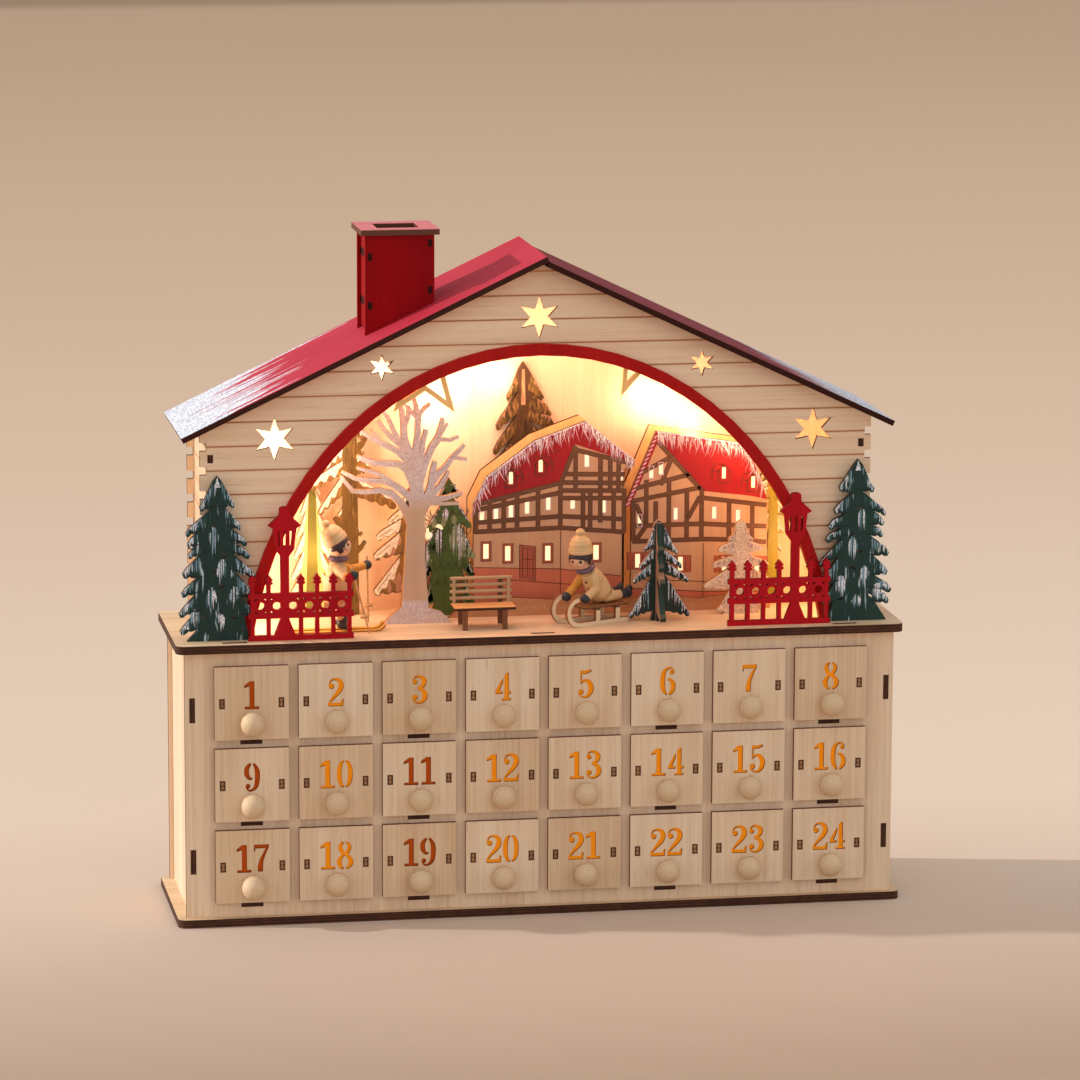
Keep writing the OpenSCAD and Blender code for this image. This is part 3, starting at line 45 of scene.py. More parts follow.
# Camera at the photograph's place
cameraSet = {"place": (-0.465642, -2.649248, 0.704338), "heading": 10.0747, "tilt": 10.6782, "roll": 0.226,
             "lens": 168.6, "sensor": 36, "far": 50}
turn, tilt, roll = (math.radians(cameraSet[key]) for key in ("heading", "tilt", "roll"))
forward = Vector((math.sin(turn) * math.cos(tilt), math.cos(turn) * math.cos(tilt), -math.sin(tilt)))
level = forward.cross(Vector((0, 0, 1))).normalized()
upright = level.cross(forward)
rightWay = level * math.cos(roll) + upright * math.sin(roll)
upWay = upright * math.cos(roll) - level * math.sin(roll)
cameraData = bpy.data.cameras.new("camera")
cameraData.lens = cameraSet["lens"]
cameraData.sensor_width = cameraSet["sensor"]
cameraData.clip_end = cameraSet["far"]
camera = bpy.data.objects.new("camera", cameraData)
stance = Matrix((rightWay, upWay, -forward)).transposed().to_4x4()
camera.matrix_world = Matrix.Translation(cameraSet["place"]) @ stance
bpy.context.scene.collection.objects.link(camera)
bpy.context.scene.camera = camera
print("camera placed")


# Materials
# Screen colour as light: each share of 255 plus 0.055, over 1.055, to the power 2.4
def tone(red, green, blue):
    light = [(c / 255 / 12.92) if c <= 10.3 else ((c / 255 + 0.055) / 1.055) ** 2.4
             for c in (red, green, blue)]
    return tuple(light) + (1.0,)


class Finish:  # one material, with short calls that add its nodes
    def __init__(self, name, roughness=0.6, specular=0.3):
        self.material = bpy.data.materials.new(name)
        self.material.use_nodes = True
        self.tree = self.material.node_tree
        self.shader = self.tree.nodes["Principled BSDF"]
        self.shader.inputs["Roughness"].default_value = roughness
        self.shader.inputs["Specular IOR Level"].default_value = specular
        self.place = self.node("ShaderNodeTexCoord").outputs["Object"]
        split = self.node("ShaderNodeSeparateXYZ", {0: self.place})
        self.x, self.y, self.z = split.outputs

    # A node with each input joined to a socket or set to a value
    def node(self, kind, inputs=None, **settings):
        node = self.tree.nodes.new(kind)
        for key, value in settings.items():
            setattr(node, key, value)
        for key, value in (inputs or {}).items():
            if isinstance(value, bpy.types.NodeSocket):
                self.tree.links.new(value, node.inputs[key])
            else:
                node.inputs[key].default_value = value
        return node

    def calc(self, operation, a, b=0.0, clamp=False):  # one step of arithmetic
        return self.node("ShaderNodeMath", {0: a, 1: b}, operation=operation, use_clamp=clamp).outputs[0]

    def plus(self, a, b, clamp=False):  # a plus b
        return self.calc("ADD", a, b, clamp)

    def minus(self, a, b):  # a less b
        return self.calc("SUBTRACT", a, b)

    def times(self, a, b, clamp=False):  # a times b
        return self.calc("MULTIPLY", a, b, clamp)

    def over(self, a, b):  # a divided by b
        return self.calc("DIVIDE", a, b)

    def blend(self, share, a, b):  # a less its share, plus that share of b
        return self.node("ShaderNodeMix", {0: share, 6: a, 7: b}, data_type="RGBA").outputs[2]

    # Straight line from start at low to end at high
    def spread(self, value, low, high, start=0.0, end=1.0):
        return self.node("ShaderNodeMapRange", {0: value, 1: low, 2: high, 3: start, 4: end}).outputs[0]

    # Noise of the place times x, y and z
    def grain(self, x, y, z, detail=3.0, rough=0.55, shift=0.0, place=None):
        moved = self.node("ShaderNodeMapping", {0: place or self.place, 1: (shift, shift, shift),
            3: (x, y, z)})
        noise = self.node("ShaderNodeTexNoise", {"Vector": moved.outputs[0], "Scale": 1.0, "Detail": detail,
            "Roughness": rough})
        return noise.outputs[0]

    def facing(self, axis):  # 1 where the surface looks along the axis, 0 on a cut edge
        normal = self.node("ShaderNodeNewGeometry").outputs["Normal"]
        along = self.node("ShaderNodeVectorMath", {0: normal, 1: axis},
            operation="DOT_PRODUCT").outputs["Value"]
        return self.spread(self.calc("ABSOLUTE", along), 0.65, 0.75)

    def line(self, value, middle, half, soft=0.0002):  # 1 within half of the middle, falling to 0 over soft
        return self.spread(self.calc("ABSOLUTE", self.minus(value, middle)), half + soft, half)

    def colour(self, socket):  # the socket becomes the base colour
        self.tree.links.new(socket, self.shader.inputs["Base Color"])

    def glow(self, colour, strength):  # the surface sends out the colour times the strength
        self.tree.links.new(colour, self.shader.inputs["Emission Color"])
        if isinstance(strength, bpy.types.NodeSocket):
            self.tree.links.new(strength, self.shader.inputs["Emission Strength"])
        else:
            self.shader.inputs["Emission Strength"].default_value = strength

    # The surface tilts as the height rises over the distance
    def bump(self, height, distance=0.0002, strength=0.4):
        node = self.node("ShaderNodeBump", {"Height": height, "Distance": distance, "Strength": strength})
        self.tree.links.new(node.outputs[0], self.shader.inputs["Normal"])


axes = {"X": (1, 0, 0), "Y": (0, 1, 0), "Z": (0, 0, 1)}
woods = {
    "face": tone(232, 203, 168), "shade": tone(206, 168, 128), "fleck": tone(160, 112, 72),
    "edge": tone(56, 26, 10), "edgeLight": tone(112, 64, 34), "plyThick": 0.0015,
    "fine": (520.0, 9.0, 4.0, 0.0), "broad": (46.0, 3.2, 3.0, 3.1), "pores": (1500.0, 60.0, 1.0, 0.0)}


# Wood grain: three noises, each squeezed across the fibres and long along them
def woodGrain(finish, grainAxis, scale=1.0):
    noises = []
    for across, along, detail, shift in (woods[key] for key in ("fine", "broad", "pores")):
        squeeze = [(along if axis == grainAxis else across) * scale for axis in "XYZ"]
        noises.append(finish.grain(*squeeze, detail=detail, shift=shift))
    return noises


# Plywood: pale veneer, shaded by the sum of fine and broad grain, and laser-browned plies on every cut edge
def plyFace(finish, grainAxis, face, shade, fleck, scale=1.0):
    fine, broad, pores = woodGrain(finish, grainAxis, scale)
    mixed = finish.plus(finish.times(fine, 0.55), finish.times(broad, 0.6))
    colour = finish.blend(finish.spread(mixed, 0.42, 0.78), face, shade)
    colour = finish.blend(finish.spread(pores, 0.66, 0.78, 0.0, 0.35), colour, fleck)
    finish.bump(fine, 0.00008, 0.35)
    return colour


def plyEdge(finish, axis, edge, light):  # a sine of one wave a ply, times a noise of the burn
    plies = finish.calc("SINE", finish.times(getattr(finish, axis.lower()), 2 * math.pi / woods["plyThick"]))
    burn = finish.grain(150.0, 150.0, 150.0, detail=3.0, shift=7.0)
    share = finish.times(finish.spread(plies, -0.2, 0.9), finish.spread(burn, 0.3, 0.75), clamp=True)
    return finish.blend(share, edge, light)


# Plies show on every edge that does not face along the thin axis
def plywood(name, thin="Y", grainAxis="Z", face=None, shade=None, roughness=0.62, scale=1.0, extra=None):
    finish = Finish(name, roughness)
    colour = plyFace(finish, grainAxis, face or woods["face"], shade or woods["shade"], woods["fleck"], scale)
    if extra:
        colour = extra(finish, colour)
    edge = plyEdge(finish, thin, woods["edge"], woods["edgeLight"])
    colour = finish.blend(finish.facing(axes[thin]), edge, colour)
    finish.colour(colour)
    return finish.material


siding = {"pitch": 12.9, "width": 0.36, "line": tone(206, 128, 72), "halo": tone(226, 176, 130)}


def sidingLines(finish, colour):  # a browned line at every whole step of height over pitch above the stage
    up = finish.over(finish.minus(finish.z, places["stageZ"] * mm), siding["pitch"] * mm)
    off = finish.calc("ABSOLUTE", finish.minus(up, finish.calc("ROUND", up)))
    wobble = finish.grain(60.0, 60.0, 60.0)
    half = siding["width"] / siding["pitch"]
    colour = finish.blend(finish.times(finish.spread(off, half * 3.2, half), 0.5), colour, siding["halo"])
    strong = finish.times(finish.spread(off, half * 1.25, half * 0.8),
        finish.spread(wobble, 0.2, 0.6, 0.55, 1.0))
    return finish.blend(finish.times(strong, finish.spread(up, 0.4, 0.5)), colour, siding["line"])


# Painted board: a stain that lets a little grain through, dark at the cut edges
def painted(name, colour, deep, edge, thin="Y", grainAxis="Z", roughness=0.5, extra=None, specular=0.4):
    finish = Finish(name, roughness, specular)
    fine, broad, _ = woodGrain(finish, grainAxis)
    mixed = finish.plus(finish.times(fine, 0.5), finish.times(broad, 0.6))
    paint = finish.blend(finish.spread(mixed, 0.4, 0.8), tone(*colour), tone(*deep))
    finish.bump(fine, 0.0001, 0.4)
    if extra:
        paint = extra(finish, paint)
    if edge:
        paint = finish.blend(finish.facing(axes[thin]), tone(*edge), paint)
    finish.colour(paint)
    return finish.material


# Glitter: one random value a grain, the highest bright as painted glints and the lowest dim over the ground
def glitter(finish, ground, bright=tone(250, 250, 252), dim=tone(176, 170, 190), size=1500.0):
    grains = finish.node("ShaderNodeTexVoronoi", {"Vector": finish.place, "Scale": size})
    sparkle = finish.node("ShaderNodeSeparateColor", {0: grains.outputs["Color"]}).outputs[0]
    colour = finish.blend(finish.spread(sparkle, 0.62, 0.7), ground, bright)
    return finish.blend(finish.spread(sparkle, 0.28, 0.2), colour, dim)


# The right roof's snow is greyer than the left's: painted shade
roofs = {"eaveX": 193.0, "frontY": -34.6, "depth": 88.4, "reachFront": 0.28, "reachBack": 0.46,
         "snow": tone(190, 196, 208), "rightShadedSnow": tone(168, 178, 196)}


def roofSnow(finish, colour, snow="snow"):  # streaked noise less the climb from the eave over its reach
    climb = finish.minus(1.0, finish.over(finish.calc("ABSOLUTE", finish.x), roofs["eaveX"] * mm))
    back = finish.spread(finish.y, roofs["frontY"] * mm, (roofs["frontY"] + roofs["depth"]) * mm)
    reach = finish.spread(back, 0.0, 1.0, roofs["reachFront"], roofs["reachBack"])
    streaks = finish.grain(12.0, 360.0, 12.0, detail=3.0, rough=0.5)
    level = finish.over(climb, reach)
    edge = finish.minus(finish.spread(streaks, 0.25, 0.75, 0.0, 1.25), level)
    share = finish.plus(finish.spread(edge, 0.0, 0.045), finish.spread(climb, 0.05, 0.02), clamp=True)
    dust = finish.grain(900.0, 900.0, 900.0, detail=2.0)
    haze = finish.times(finish.spread(level, 1.9, 0.6), finish.spread(dust, 0.6, 0.68, 0.0, 0.16))
    colour = finish.blend(haze, colour, roofs[snow])
    return finish.blend(share, colour, glitter(finish, roofs[snow]))


chimneyMarks = {"spots": [(-88.5, 200.3), (-88.5, 174.1), (-56.2, 207.2), (-56.2, 182.0)],
    "half": (1.15, 1.9), "dark": tone(52, 14, 14)}


def chimneyTenons(finish, colour):  # dark ends of the side boards' tenons in the chimney's front
    width, height = chimneyMarks["half"]
    for x, z in chimneyMarks["spots"]:
        across = finish.line(finish.x, x * mm, width * mm)
        up = finish.line(finish.z, (z + places["stageZ"]) * mm, height * mm)
        colour = finish.blend(finish.times(across, up), colour, chimneyMarks["dark"])
    return colour


def sparseDust(finish, colour):  # pale grains where a fine noise is highest
    dust = finish.grain(1300.0, 1300.0, 1300.0, detail=1.0)
    return finish.blend(finish.spread(dust, 0.62, 0.7, 0.0, 0.5), colour, tone(236, 206, 214))


# Needles: snow where a long fine noise plus 0.9 of a broad one passes a level that falls with the amount
def needles(finish, colour, snow, amount=0.5, fine=760.0, long=70.0):
    strokes = finish.grain(fine, fine, long, detail=2.0, rough=0.5)
    clumps = finish.grain(95.0, 95.0, 60.0, detail=2.0, shift=5.0)
    share = finish.plus(strokes, finish.times(finish.minus(clumps, 0.5), 0.9))
    low = 0.78 - 0.34 * amount
    return finish.blend(finish.spread(share, low, low + 0.09), colour, snow)


# Turned wood: year rings as a sine of the distance from the lathe's axis, read from turnPlace
def turnedWood(name, light, dark, rings=0.0011):
    finish = Finish(name, 0.5, 0.35)
    spot = finish.node("ShaderNodeAttribute", attribute_name="turnPlace").outputs["Vector"]
    flat = finish.node("ShaderNodeVectorMath", {0: spot, 1: (1, 0, 1)}, operation="MULTIPLY").outputs[0]
    away = finish.node("ShaderNodeVectorMath", {0: flat}, operation="LENGTH").outputs["Value"]
    wobble = finish.grain(120.0, 120.0, 120.0, place=spot)
    wave = finish.calc("SINE", finish.plus(finish.times(away, 2 * math.pi / rings),
        finish.times(wobble, 5.0)))
    pores = finish.grain(900.0, 90.0, 900.0, place=spot, detail=2.0)
    share = finish.plus(finish.spread(wave, -1.0, 1.0, 0.0, 0.55), finish.spread(pores, 0.5, 0.8, 0.0, 0.4),
        clamp=True)
    finish.colour(finish.blend(share, tone(*light), tone(*dark)))
    finish.bump(wave, 0.00003, 0.3)
    return finish.material


# A patchy colour that sends out its own light: a lamp in the lamp lenses, painted light on every other part
def glowing(name, colour, strength, patch=(255, 250, 230)):
    finish = Finish(name, 0.6, 0.2)
    patches = finish.grain(240.0, 240.0, 240.0)
    tint = finish.blend(finish.spread(patches, 0.3, 0.7, 0.0, 0.25), tone(*colour), tone(*patch))
    finish.colour(tint)
    finish.glow(tint, strength)
    return finish.material


finishes = {
    "plate": plywood("platePly", "Z", "X"),
    "panel": plywood("panelPly", "Y", "Z", face=tone(246, 220, 190), shade=tone(222, 188, 152)),
    # Painted lamp light: the house's back wall is a warmer, brighter copy of the panel ply
    "backWall": plywood("backWallLitPly", "Y", "Z", face=tone(255, 220, 184),
        shade=tone(248, 204, 160), scale=0.7),
    "sidePanel": plywood("sidePly", "X", "Z", face=tone(236, 212, 184), shade=tone(212, 180, 146)),
    "shelf": plywood("shelfPly", "Z", "X"),
    "facade": plywood("facadePly", "Y", "X", face=tone(255, 226, 194), shade=tone(240, 202, 164),
        extra=sidingLines),
    "wallPanel": plywood("wallPly", "X", "Y", extra=sidingLines),
    # Painted lamp light: the cottage backings are a golden ply brighter than the rest
    "star": plywood("backingLitPly", "Y", "Z", face=tone(255, 212, 144), shade=tone(238, 186, 118)),
    # Painted light: the hanging stars glow a little, though they are no lamps
    "starGlow": glowing("hangingStarPaintedGlow", (238, 184, 116), 0.22, (248, 204, 142)),
    # Painted lamp light: the arch's cut edges are a brighter orange red than its face
    "arch": painted("archRed", (190, 26, 22), (164, 16, 14), (196, 44, 8), roughness=0.65, specular=0.15),
    "fence": painted("fenceRed", (194, 16, 30), (166, 12, 22), (120, 16, 22), roughness=0.65,
        specular=0.15),
    "chimney": painted("chimneyRed", (156, 2, 12), (126, 0, 6), None, extra=chimneyTenons,
        roughness=0.65, specular=0.12),
    "cap": painted("capRed", (218, 108, 112), (196, 84, 90), (96, 52, 30), thin="Z",
        grainAxis="X", extra=sparseDust),
    "roofLeft": painted("roofLeftRed", (188, 52, 70), (170, 36, 54), (64, 32, 24), thin="Z",
        grainAxis="X", roughness=0.7, extra=roofSnow, specular=0.12),
    # Painted shade: the right roof is a darker red than the left, with greyer snow
    "roofRight": painted("roofRightShadedRed", (140, 52, 62), (112, 36, 46), (58, 26, 18), thin="Z",
        grainAxis="X", roughness=0.7, specular=0.12, extra=lambda f, c: roofSnow(f, c, "rightShadedSnow")),
    "drawerCut": painted("burntCut", (92, 50, 26), (64, 32, 16), None),
    "digitCut": painted("digitCut", (132, 52, 8), (92, 32, 4), None),
    # Painted light: the number inlays glow though no lamp is behind them; numbers 1, 9, 11, 17 and 19 are
    # darker and weaker
    "inlay": glowing("numberInlay", (240, 138, 8), 0.34, (246, 156, 24)),
    "inlayDim": glowing("numberInlayDim", (204, 84, 4), 0.06, (212, 98, 12)),
    "knob": turnedWood("knobWood", (228, 200, 164), (204, 168, 128)),
    "lens": glowing("lampLens", (255, 226, 160), 6.0),
    "boxBlack": painted("boxBlack", (44, 44, 46), (34, 34, 36), None, roughness=0.45),
    "switchBlack": painted("switchBlack", (60, 60, 64), (48, 48, 52), None, roughness=0.35),
    "pane": glowing("litPane", (255, 236, 178), 0.9),
    "timber": painted("timberBrown", (118, 78, 52), (92, 56, 34), None, grainAxis="X"),
    "plaster": painted("plasterPink", (206, 160, 124), (190, 142, 106), (92, 48, 22)),
    "tile": painted("tileRed", (164, 16, 24), (138, 10, 18), None),
    "plinth": painted("plinthSalmon", (206, 116, 88), (190, 98, 72), None),
    "frameRed": painted("frameRed", (178, 92, 66), (158, 74, 52), None),
    "ink": painted("burntLine", (104, 44, 26), (80, 30, 16), None),
    "frost": painted("frostWhite", (240, 232, 236), (214, 200, 214), None, extra=glitter),
    "frostRose": painted("frostRose", (226, 186, 196), (206, 160, 178), None),
}
treeZones = {"moundTop": 12.5, "forkLow": 62.0, "forkHigh": 70.0}


# Glitter on the mound and above the fork, plain stained wood on the trunk between
def bareTreeCoat(finish, colour):
    mound, low, high = ((treeZones[key] + places["stageZ"]) * mm
        for key in ("moundTop", "forkLow", "forkHigh"))
    share = finish.plus(finish.spread(finish.z, mound + 0.001, mound - 0.001),
        finish.spread(finish.z, low, high), clamp=True)
    coat = glitter(finish, tone(210, 188, 184), tone(222, 204, 202), tone(192, 170, 172), 1700.0)
    patchy = finish.spread(finish.grain(60.0, 60.0, 60.0), 0.3, 0.55, 0.45, 1.0)
    return finish.blend(finish.times(share, patchy), colour, coat)


bareTree = painted("bareTreeFrost", (212, 174, 146), (196, 156, 128), (176, 112, 44), extra=bareTreeCoat)
pineCoat = painted("pineCoat", (18, 62, 54), (10, 40, 38), (66, 46, 34),
    extra=lambda f, c: needles(f, c, tone(186, 204, 214), 0.34))
print("finishes mixed")

# Floor and backdrop: one sheet that bends up behind the calendar
# The tones along Y paint a pool of light: brightest just behind the calendar, darker to the front and far
# back
stageSet = {"front": -5.0, "bend": 6.0, "radius": 0.9, "height": 1.9, "half": 7.0, "glow": 0.07,
            "tones": [(-0.36, tone(170, 145, 126)), (0.0, tone(206, 184, 167)), (0.2, tone(216, 195, 177)),
                      (0.5, tone(213, 191, 173)), (1.3, tone(202, 178, 157)), (2.4, tone(192, 166, 142)),
                      (3.2, tone(185, 161, 137)), (5.0, tone(175, 150, 128)), (5.8, tone(176, 152, 130))]}


def backdrop():  # the floor, a quarter of a circle and the wall, coloured by distance along Y
    angles = np.linspace(0, math.pi / 2, 25)
    along = np.concatenate([[stageSet["front"]], stageSet["bend"] + stageSet["radius"] * np.sin(angles),
        [stageSet["bend"] + stageSet["radius"]]])
    up = np.concatenate([[0.0], stageSet["radius"] * (1 - np.cos(angles)), [stageSet["height"]]])
    across = np.linspace(-stageSet["half"], stageSet["half"], 3)
    points = np.stack([np.tile(across, len(along)), np.repeat(along, 3), np.repeat(up, 3)], 1)
    row = np.arange(len(along) - 1)[:, None] * 3 + np.arange(2)[None, :]
    quads = np.stack([row, row + 1, row + 4, row + 3], -1).reshape(-1, 4)
    mesh = bpy.data.meshes.new("backdrop")
    mesh.from_pydata(points.tolist(), [], quads.tolist())
    mesh.polygons.foreach_set("use_smooth", [True] * len(quads))
    sheet = bpy.data.objects.new("backdrop", mesh)
    bpy.context.scene.collection.objects.link(sheet)
    finish = Finish("backdropPaper", 0.9, 0.1)
    tones = stageSet["tones"]
    colour = tones[0][1]
    for (start, _), (end, shade) in zip(tones[:-1], tones[1:]):
        colour = finish.blend(finish.spread(finish.y, start, end), colour, shade)
    soft = finish.grain(1.5, 1.5, 1.5, detail=2.0)
    colour = finish.blend(finish.spread(soft, 0.3, 0.7, 0.0, 0.06), colour, tone(190, 160, 134))
    finish.colour(colour)
    # Painted light: the sheet also glows for camera, glossy and transmission rays
    rays = finish.node("ShaderNodeLightPath").outputs
    seen = finish.plus(finish.plus(rays["Is Camera Ray"], rays["Is Glossy Ray"]), rays["Is Transmission Ray"])
    finish.glow(colour, finish.times(seen, stageSet["glow"]))
    mesh.materials.append(finish.material)


backdrop()

# Light: a soft even room, a low key light from the left, and warm lamps in the house
lights = {"room": 0.80, "roomTint": (1.0, 0.985, 0.965), "key": 2.7, "keyTint": (1.0, 0.97, 0.92),
          "keyAngle": 1.6, "keyWay": (0.96, -0.2, -0.40)}
# Lamps in mm of the stage: X and Z of each, their depth Y, energy, colour and size
lampRows = {
    "hotSpot": {"spots": [(-49, 110), (-10.5, 128), (81, 112), (-35, 126), (67, 115), (95, 101)],
                "y": 66, "energy": 0.02, "tint": (1.0, 0.76, 0.56), "size": 0.003},
    "lowLamp": {"spots": [(-112, 34), (-62, 52), (18, 36), (112, 40)],
                "y": 64, "energy": 0.026, "tint": (1.0, 0.58, 0.25), "size": 0.012},
    "starLamp": {"spots": [(-136, 92), (-80, 130)],
                 "y": 70, "energy": 0.012, "tint": (1.0, 0.97, 0.9), "size": 0.004}}
# Under the arch: degrees round it, share of the energy and colour of each
archLamps = {
    "acrossR": 172.55, "upR": 195.8, "drop": 32.1, "inset": 0.955, "y": 31.0, "energy": 0.07, "size": 0.004,
    "rows": [(20, 0.8, (1.0, 0.68, 0.38)), (45, 0.9, (1.0, 0.72, 0.44)), (80, 1.0, (1.0, 0.8, 0.56)),
             (100, 1.1, (1.0, 0.84, 0.62)), (135, 1.3, (1.0, 0.92, 0.78)), (160, 1.4, (1.0, 0.92, 0.78))]}
world = bpy.data.worlds.new("room")
bpy.context.scene.world = world
world.use_nodes = True
world.node_tree.nodes["Background"].inputs[0].default_value = lights["roomTint"] + (1.0,)
world.node_tree.nodes["Background"].inputs[1].default_value = lights["room"]


def lamp(name, kind, place, energy, tint, way=None, **settings):  # a light at a place, turned along its way
    data = bpy.data.lights.new(name, kind)
    data.energy = energy
    data.color = tint
    for key, value in settings.items():
        setattr(data, key, value)
    light = bpy.data.objects.new(name, data)
    light.location = place
    if way:
        light.rotation_euler = Vector(way).to_track_quat("-Z", "Y").to_euler()
    bpy.context.scene.collection.objects.link(light)


def stagePoint(x, y, z):  # a drawing's point in mm above the stage as a scene point in metres
    return (x * mm, (y - places["middleY"]) * mm, (z + places["stageZ"]) * mm)


def lampRow(name):  # one small lamp at each spot of the row
    row = lampRows[name]
    for index, (x, z) in enumerate(row["spots"]):
        lamp(f"{name}{index}", "POINT", stagePoint(x, row["y"], z), row["energy"], row["tint"],
             shadow_soft_size=row["size"])


# Lamps under the arch: x = acrossR cos(angle), z = upR sin(angle) less the drop, both drawn in a little
def archRow():
    a = archLamps
    for index, (angle, share, tint) in enumerate(a["rows"]):
        x = a["acrossR"] * math.cos(math.radians(angle)) * a["inset"]
        z = -a["drop"] + a["upR"] * math.sin(math.radians(angle)) * a["inset"]
        lamp(f"archLamp{index}", "POINT", stagePoint(x, a["y"], z), a["energy"] * share, tint,
             shadow_soft_size=a["size"])


lamp("key", "SUN", (-2, 0.5, 1), lights["key"], lights["keyTint"], lights["keyWay"],
     angle=math.radians(lights["keyAngle"]))
lampRow("hotSpot")
archRow()
lampRow("lowLamp")
lampRow("starLamp")
print("lights placed")


# Shapes: every piece gathers its faces here, in mm of the drawing, and becomes one mesh
class Heap:
    def __init__(self):
        self.points, self.faces, self.paint, self.smooth, self.spots, self.count = [], [], [], [], [], 0

    # Faces count on from the points before them
    def add(self, points, faces, paint=0, smooth=False, spots=None):
        points = np.asarray(points, float)
        self.points.append(points)
        self.spots.append(points * 0 if spots is None else spots)
        self.faces.extend([tuple(int(i) + self.count for i in face) for face in faces])
        self.paint.extend([paint] * len(faces))
        self.smooth.extend([smooth] * len(faces))
        self.count += len(points)

    # Moved to the cabinet's middle and up to the stage or the base, in metres
    def piece(self, name, materials, body="calendar", slot=None, replaces=(), stage=True, spots=False):
        points = np.concatenate(self.points)
        lift = places["stageZ"] if stage else places["caseZ"]
        points = (points + [0, -places["middleY"], lift]) * mm
        mesh = bpy.data.meshes.new(name)
        mesh.from_pydata(points.tolist(), [], self.faces)
        for material in materials:
            mesh.materials.append(material)
        mesh.polygons.foreach_set("material_index", np.array(self.paint, np.int32))
        mesh.polygons.foreach_set("use_smooth", np.array(self.smooth, bool))
        if spots:
            layer = mesh.attributes.new("turnPlace", "FLOAT_VECTOR", "POINT")
            layer.data.foreach_set("vector", (np.concatenate(self.spots) * mm).ravel())
        mesh.update()
        item = bpy.data.objects.new(name, mesh)
        bpy.context.scene.collection.objects.link(item)
        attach(item, body)
        if replaces:
            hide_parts(*replaces)
        return item


# A drawing in its plane: front is X and Z, side is Y and Z, flat is X and Y
def placed(loop, depth, plane):
    u, v, d = loop[:, 0], loop[:, 1], np.full(len(loop), float(depth))
    return np.stack({"front": (u, d, v), "side": (d, u, v), "flat": (u, v, d)}[plane], 1)


def turnedLeft(loop):  # the same loop, counterclockwise
    loop = np.asarray(loop, float)
    nxt = np.roll(loop, -1, axis=0)
    return loop if (loop[:, 0] * nxt[:, 1] - nxt[:, 0] * loop[:, 1]).sum() > 0 else loop[::-1]


# A flat shape with thickness: the loop on its near and far planes, joined by walls
def slab(heap, loop, near, far, paint=0, wall=None, plane="front"):
    loop = turnedLeft(loop)
    count = len(loop)
    points = np.concatenate([placed(loop, near, plane), placed(loop, far, plane)])
    here = np.arange(count)
    there = np.roll(here, -1)
    heap.add(points, [tuple(here), tuple((here + count)[::-1])], paint)
    walls = np.stack([here, here + count, there + count, there], 1).tolist()
    heap.add(points, walls, paint if wall is None else wall)


def inside(spots, loop):  # winding number of the loop round each spot, not zero
    start, end = loop, np.roll(loop, -1, axis=0)
    px, py = spots[:, 0][:, None], spots[:, 1][:, None]
    cross = (end[:, 0] - start[:, 0]) * (py - start[:, 1]) - (px - start[:, 0]) * (end[:, 1] - start[:, 1])
    rising = (start[:, 1] <= py) & (end[:, 1] > py) & (cross > 0)
    falling = (start[:, 1] > py) & (end[:, 1] <= py) & (cross < 0)
    return (rising.sum(1) - falling.sum(1)) != 0


# A board with cuts: a net of triangles through every outline, kept where it lies in the board and in no cut
def cutBoard(heap, outline, cuts, near, far, paint=0, wall=1, plane="front"):
    loops = [turnedLeft(outline)] + [np.asarray(cut, float) for cut in cuts]
    starts = np.cumsum([0] + [len(loop) for loop in loops])
    edges = [(int(a + i), int(a + (i + 1) % len(loop)))
             for a, loop in zip(starts, loops) for i in range(len(loop))]
    corners = [Vector(p) for loop in loops for p in loop]
    points, _, triangles, *_ = delaunay_2d_cdt(corners, edges, [], 0, 1e-5, False)
    points = np.array([tuple(p) for p in points])
    triangles = np.array(triangles)
    middles = points[triangles].mean(1)
    keep = inside(middles, loops[0])
    for loop in loops[1:]:
        keep &= ~inside(middles, loop)
    triangles = triangles[keep]
    a, b, c = (points[triangles[:, i]] for i in range(3))
    left = ((b[:, 0] - a[:, 0]) * (c[:, 1] - a[:, 1]) - (c[:, 0] - a[:, 0]) * (b[:, 1] - a[:, 1])) > 0
    triangles[~left] = triangles[~left][:, ::-1]
    count = len(points)
    solid = np.concatenate([placed(points, near, plane), placed(points, far, plane)])
    heap.add(solid, triangles.tolist() + (triangles[:, ::-1] + count).tolist(), paint)
    rims = np.concatenate([triangles[:, [0, 1]], triangles[:, [1, 2]], triangles[:, [2, 0]]])
    known = set(map(tuple, rims.tolist()))
    rims = np.array([rim for rim in known if (rim[1], rim[0]) not in known])
    here, there = rims.T
    heap.add(solid, np.stack([here, here + count, there + count, there], 1).tolist(), wall)


def smoothRoute(route, steps=7):  # Catmull-Rom curve through every point of the route
    route = np.asarray(route, float)
    grown = np.concatenate([[2 * route[0] - route[1]], route, [2 * route[-1] - route[-2]]])
    share = np.linspace(0, 1, steps, endpoint=False)[:, None]
    parts = [0.5 * (2 * b + (c - a) * share + (2 * a - 5 * b + 4 * c - d) * share ** 2
                    + (3 * b - a - 3 * c + d) * share ** 3)
             for a, b, c, d in zip(grown[:-3], grown[1:-2], grown[2:-1], grown[3:])]
    return np.concatenate(parts + [route[-1:]])


def ribbon(route, steps=7):  # a strip of changing width: rows of x, y and width
    route = smoothRoute(route, steps) if steps > 1 else np.asarray(route, float)
    ahead = np.gradient(route[:, :2], axis=0)
    ahead /= np.linalg.norm(ahead, axis=1, keepdims=True) + 1e-9
    side = np.stack([-ahead[:, 1], ahead[:, 0]], 1) * route[:, 2:3] / 2
    return np.concatenate([route[:, :2] - side, (route[:, :2] + side)[::-1]])


def disc(x, y, radius, count=20):  # middle plus radius times cosine and sine
    angles = np.arange(count) * 2 * math.pi / count
    return np.stack([x + radius * np.cos(angles), y + radius * np.sin(angles)], 1)


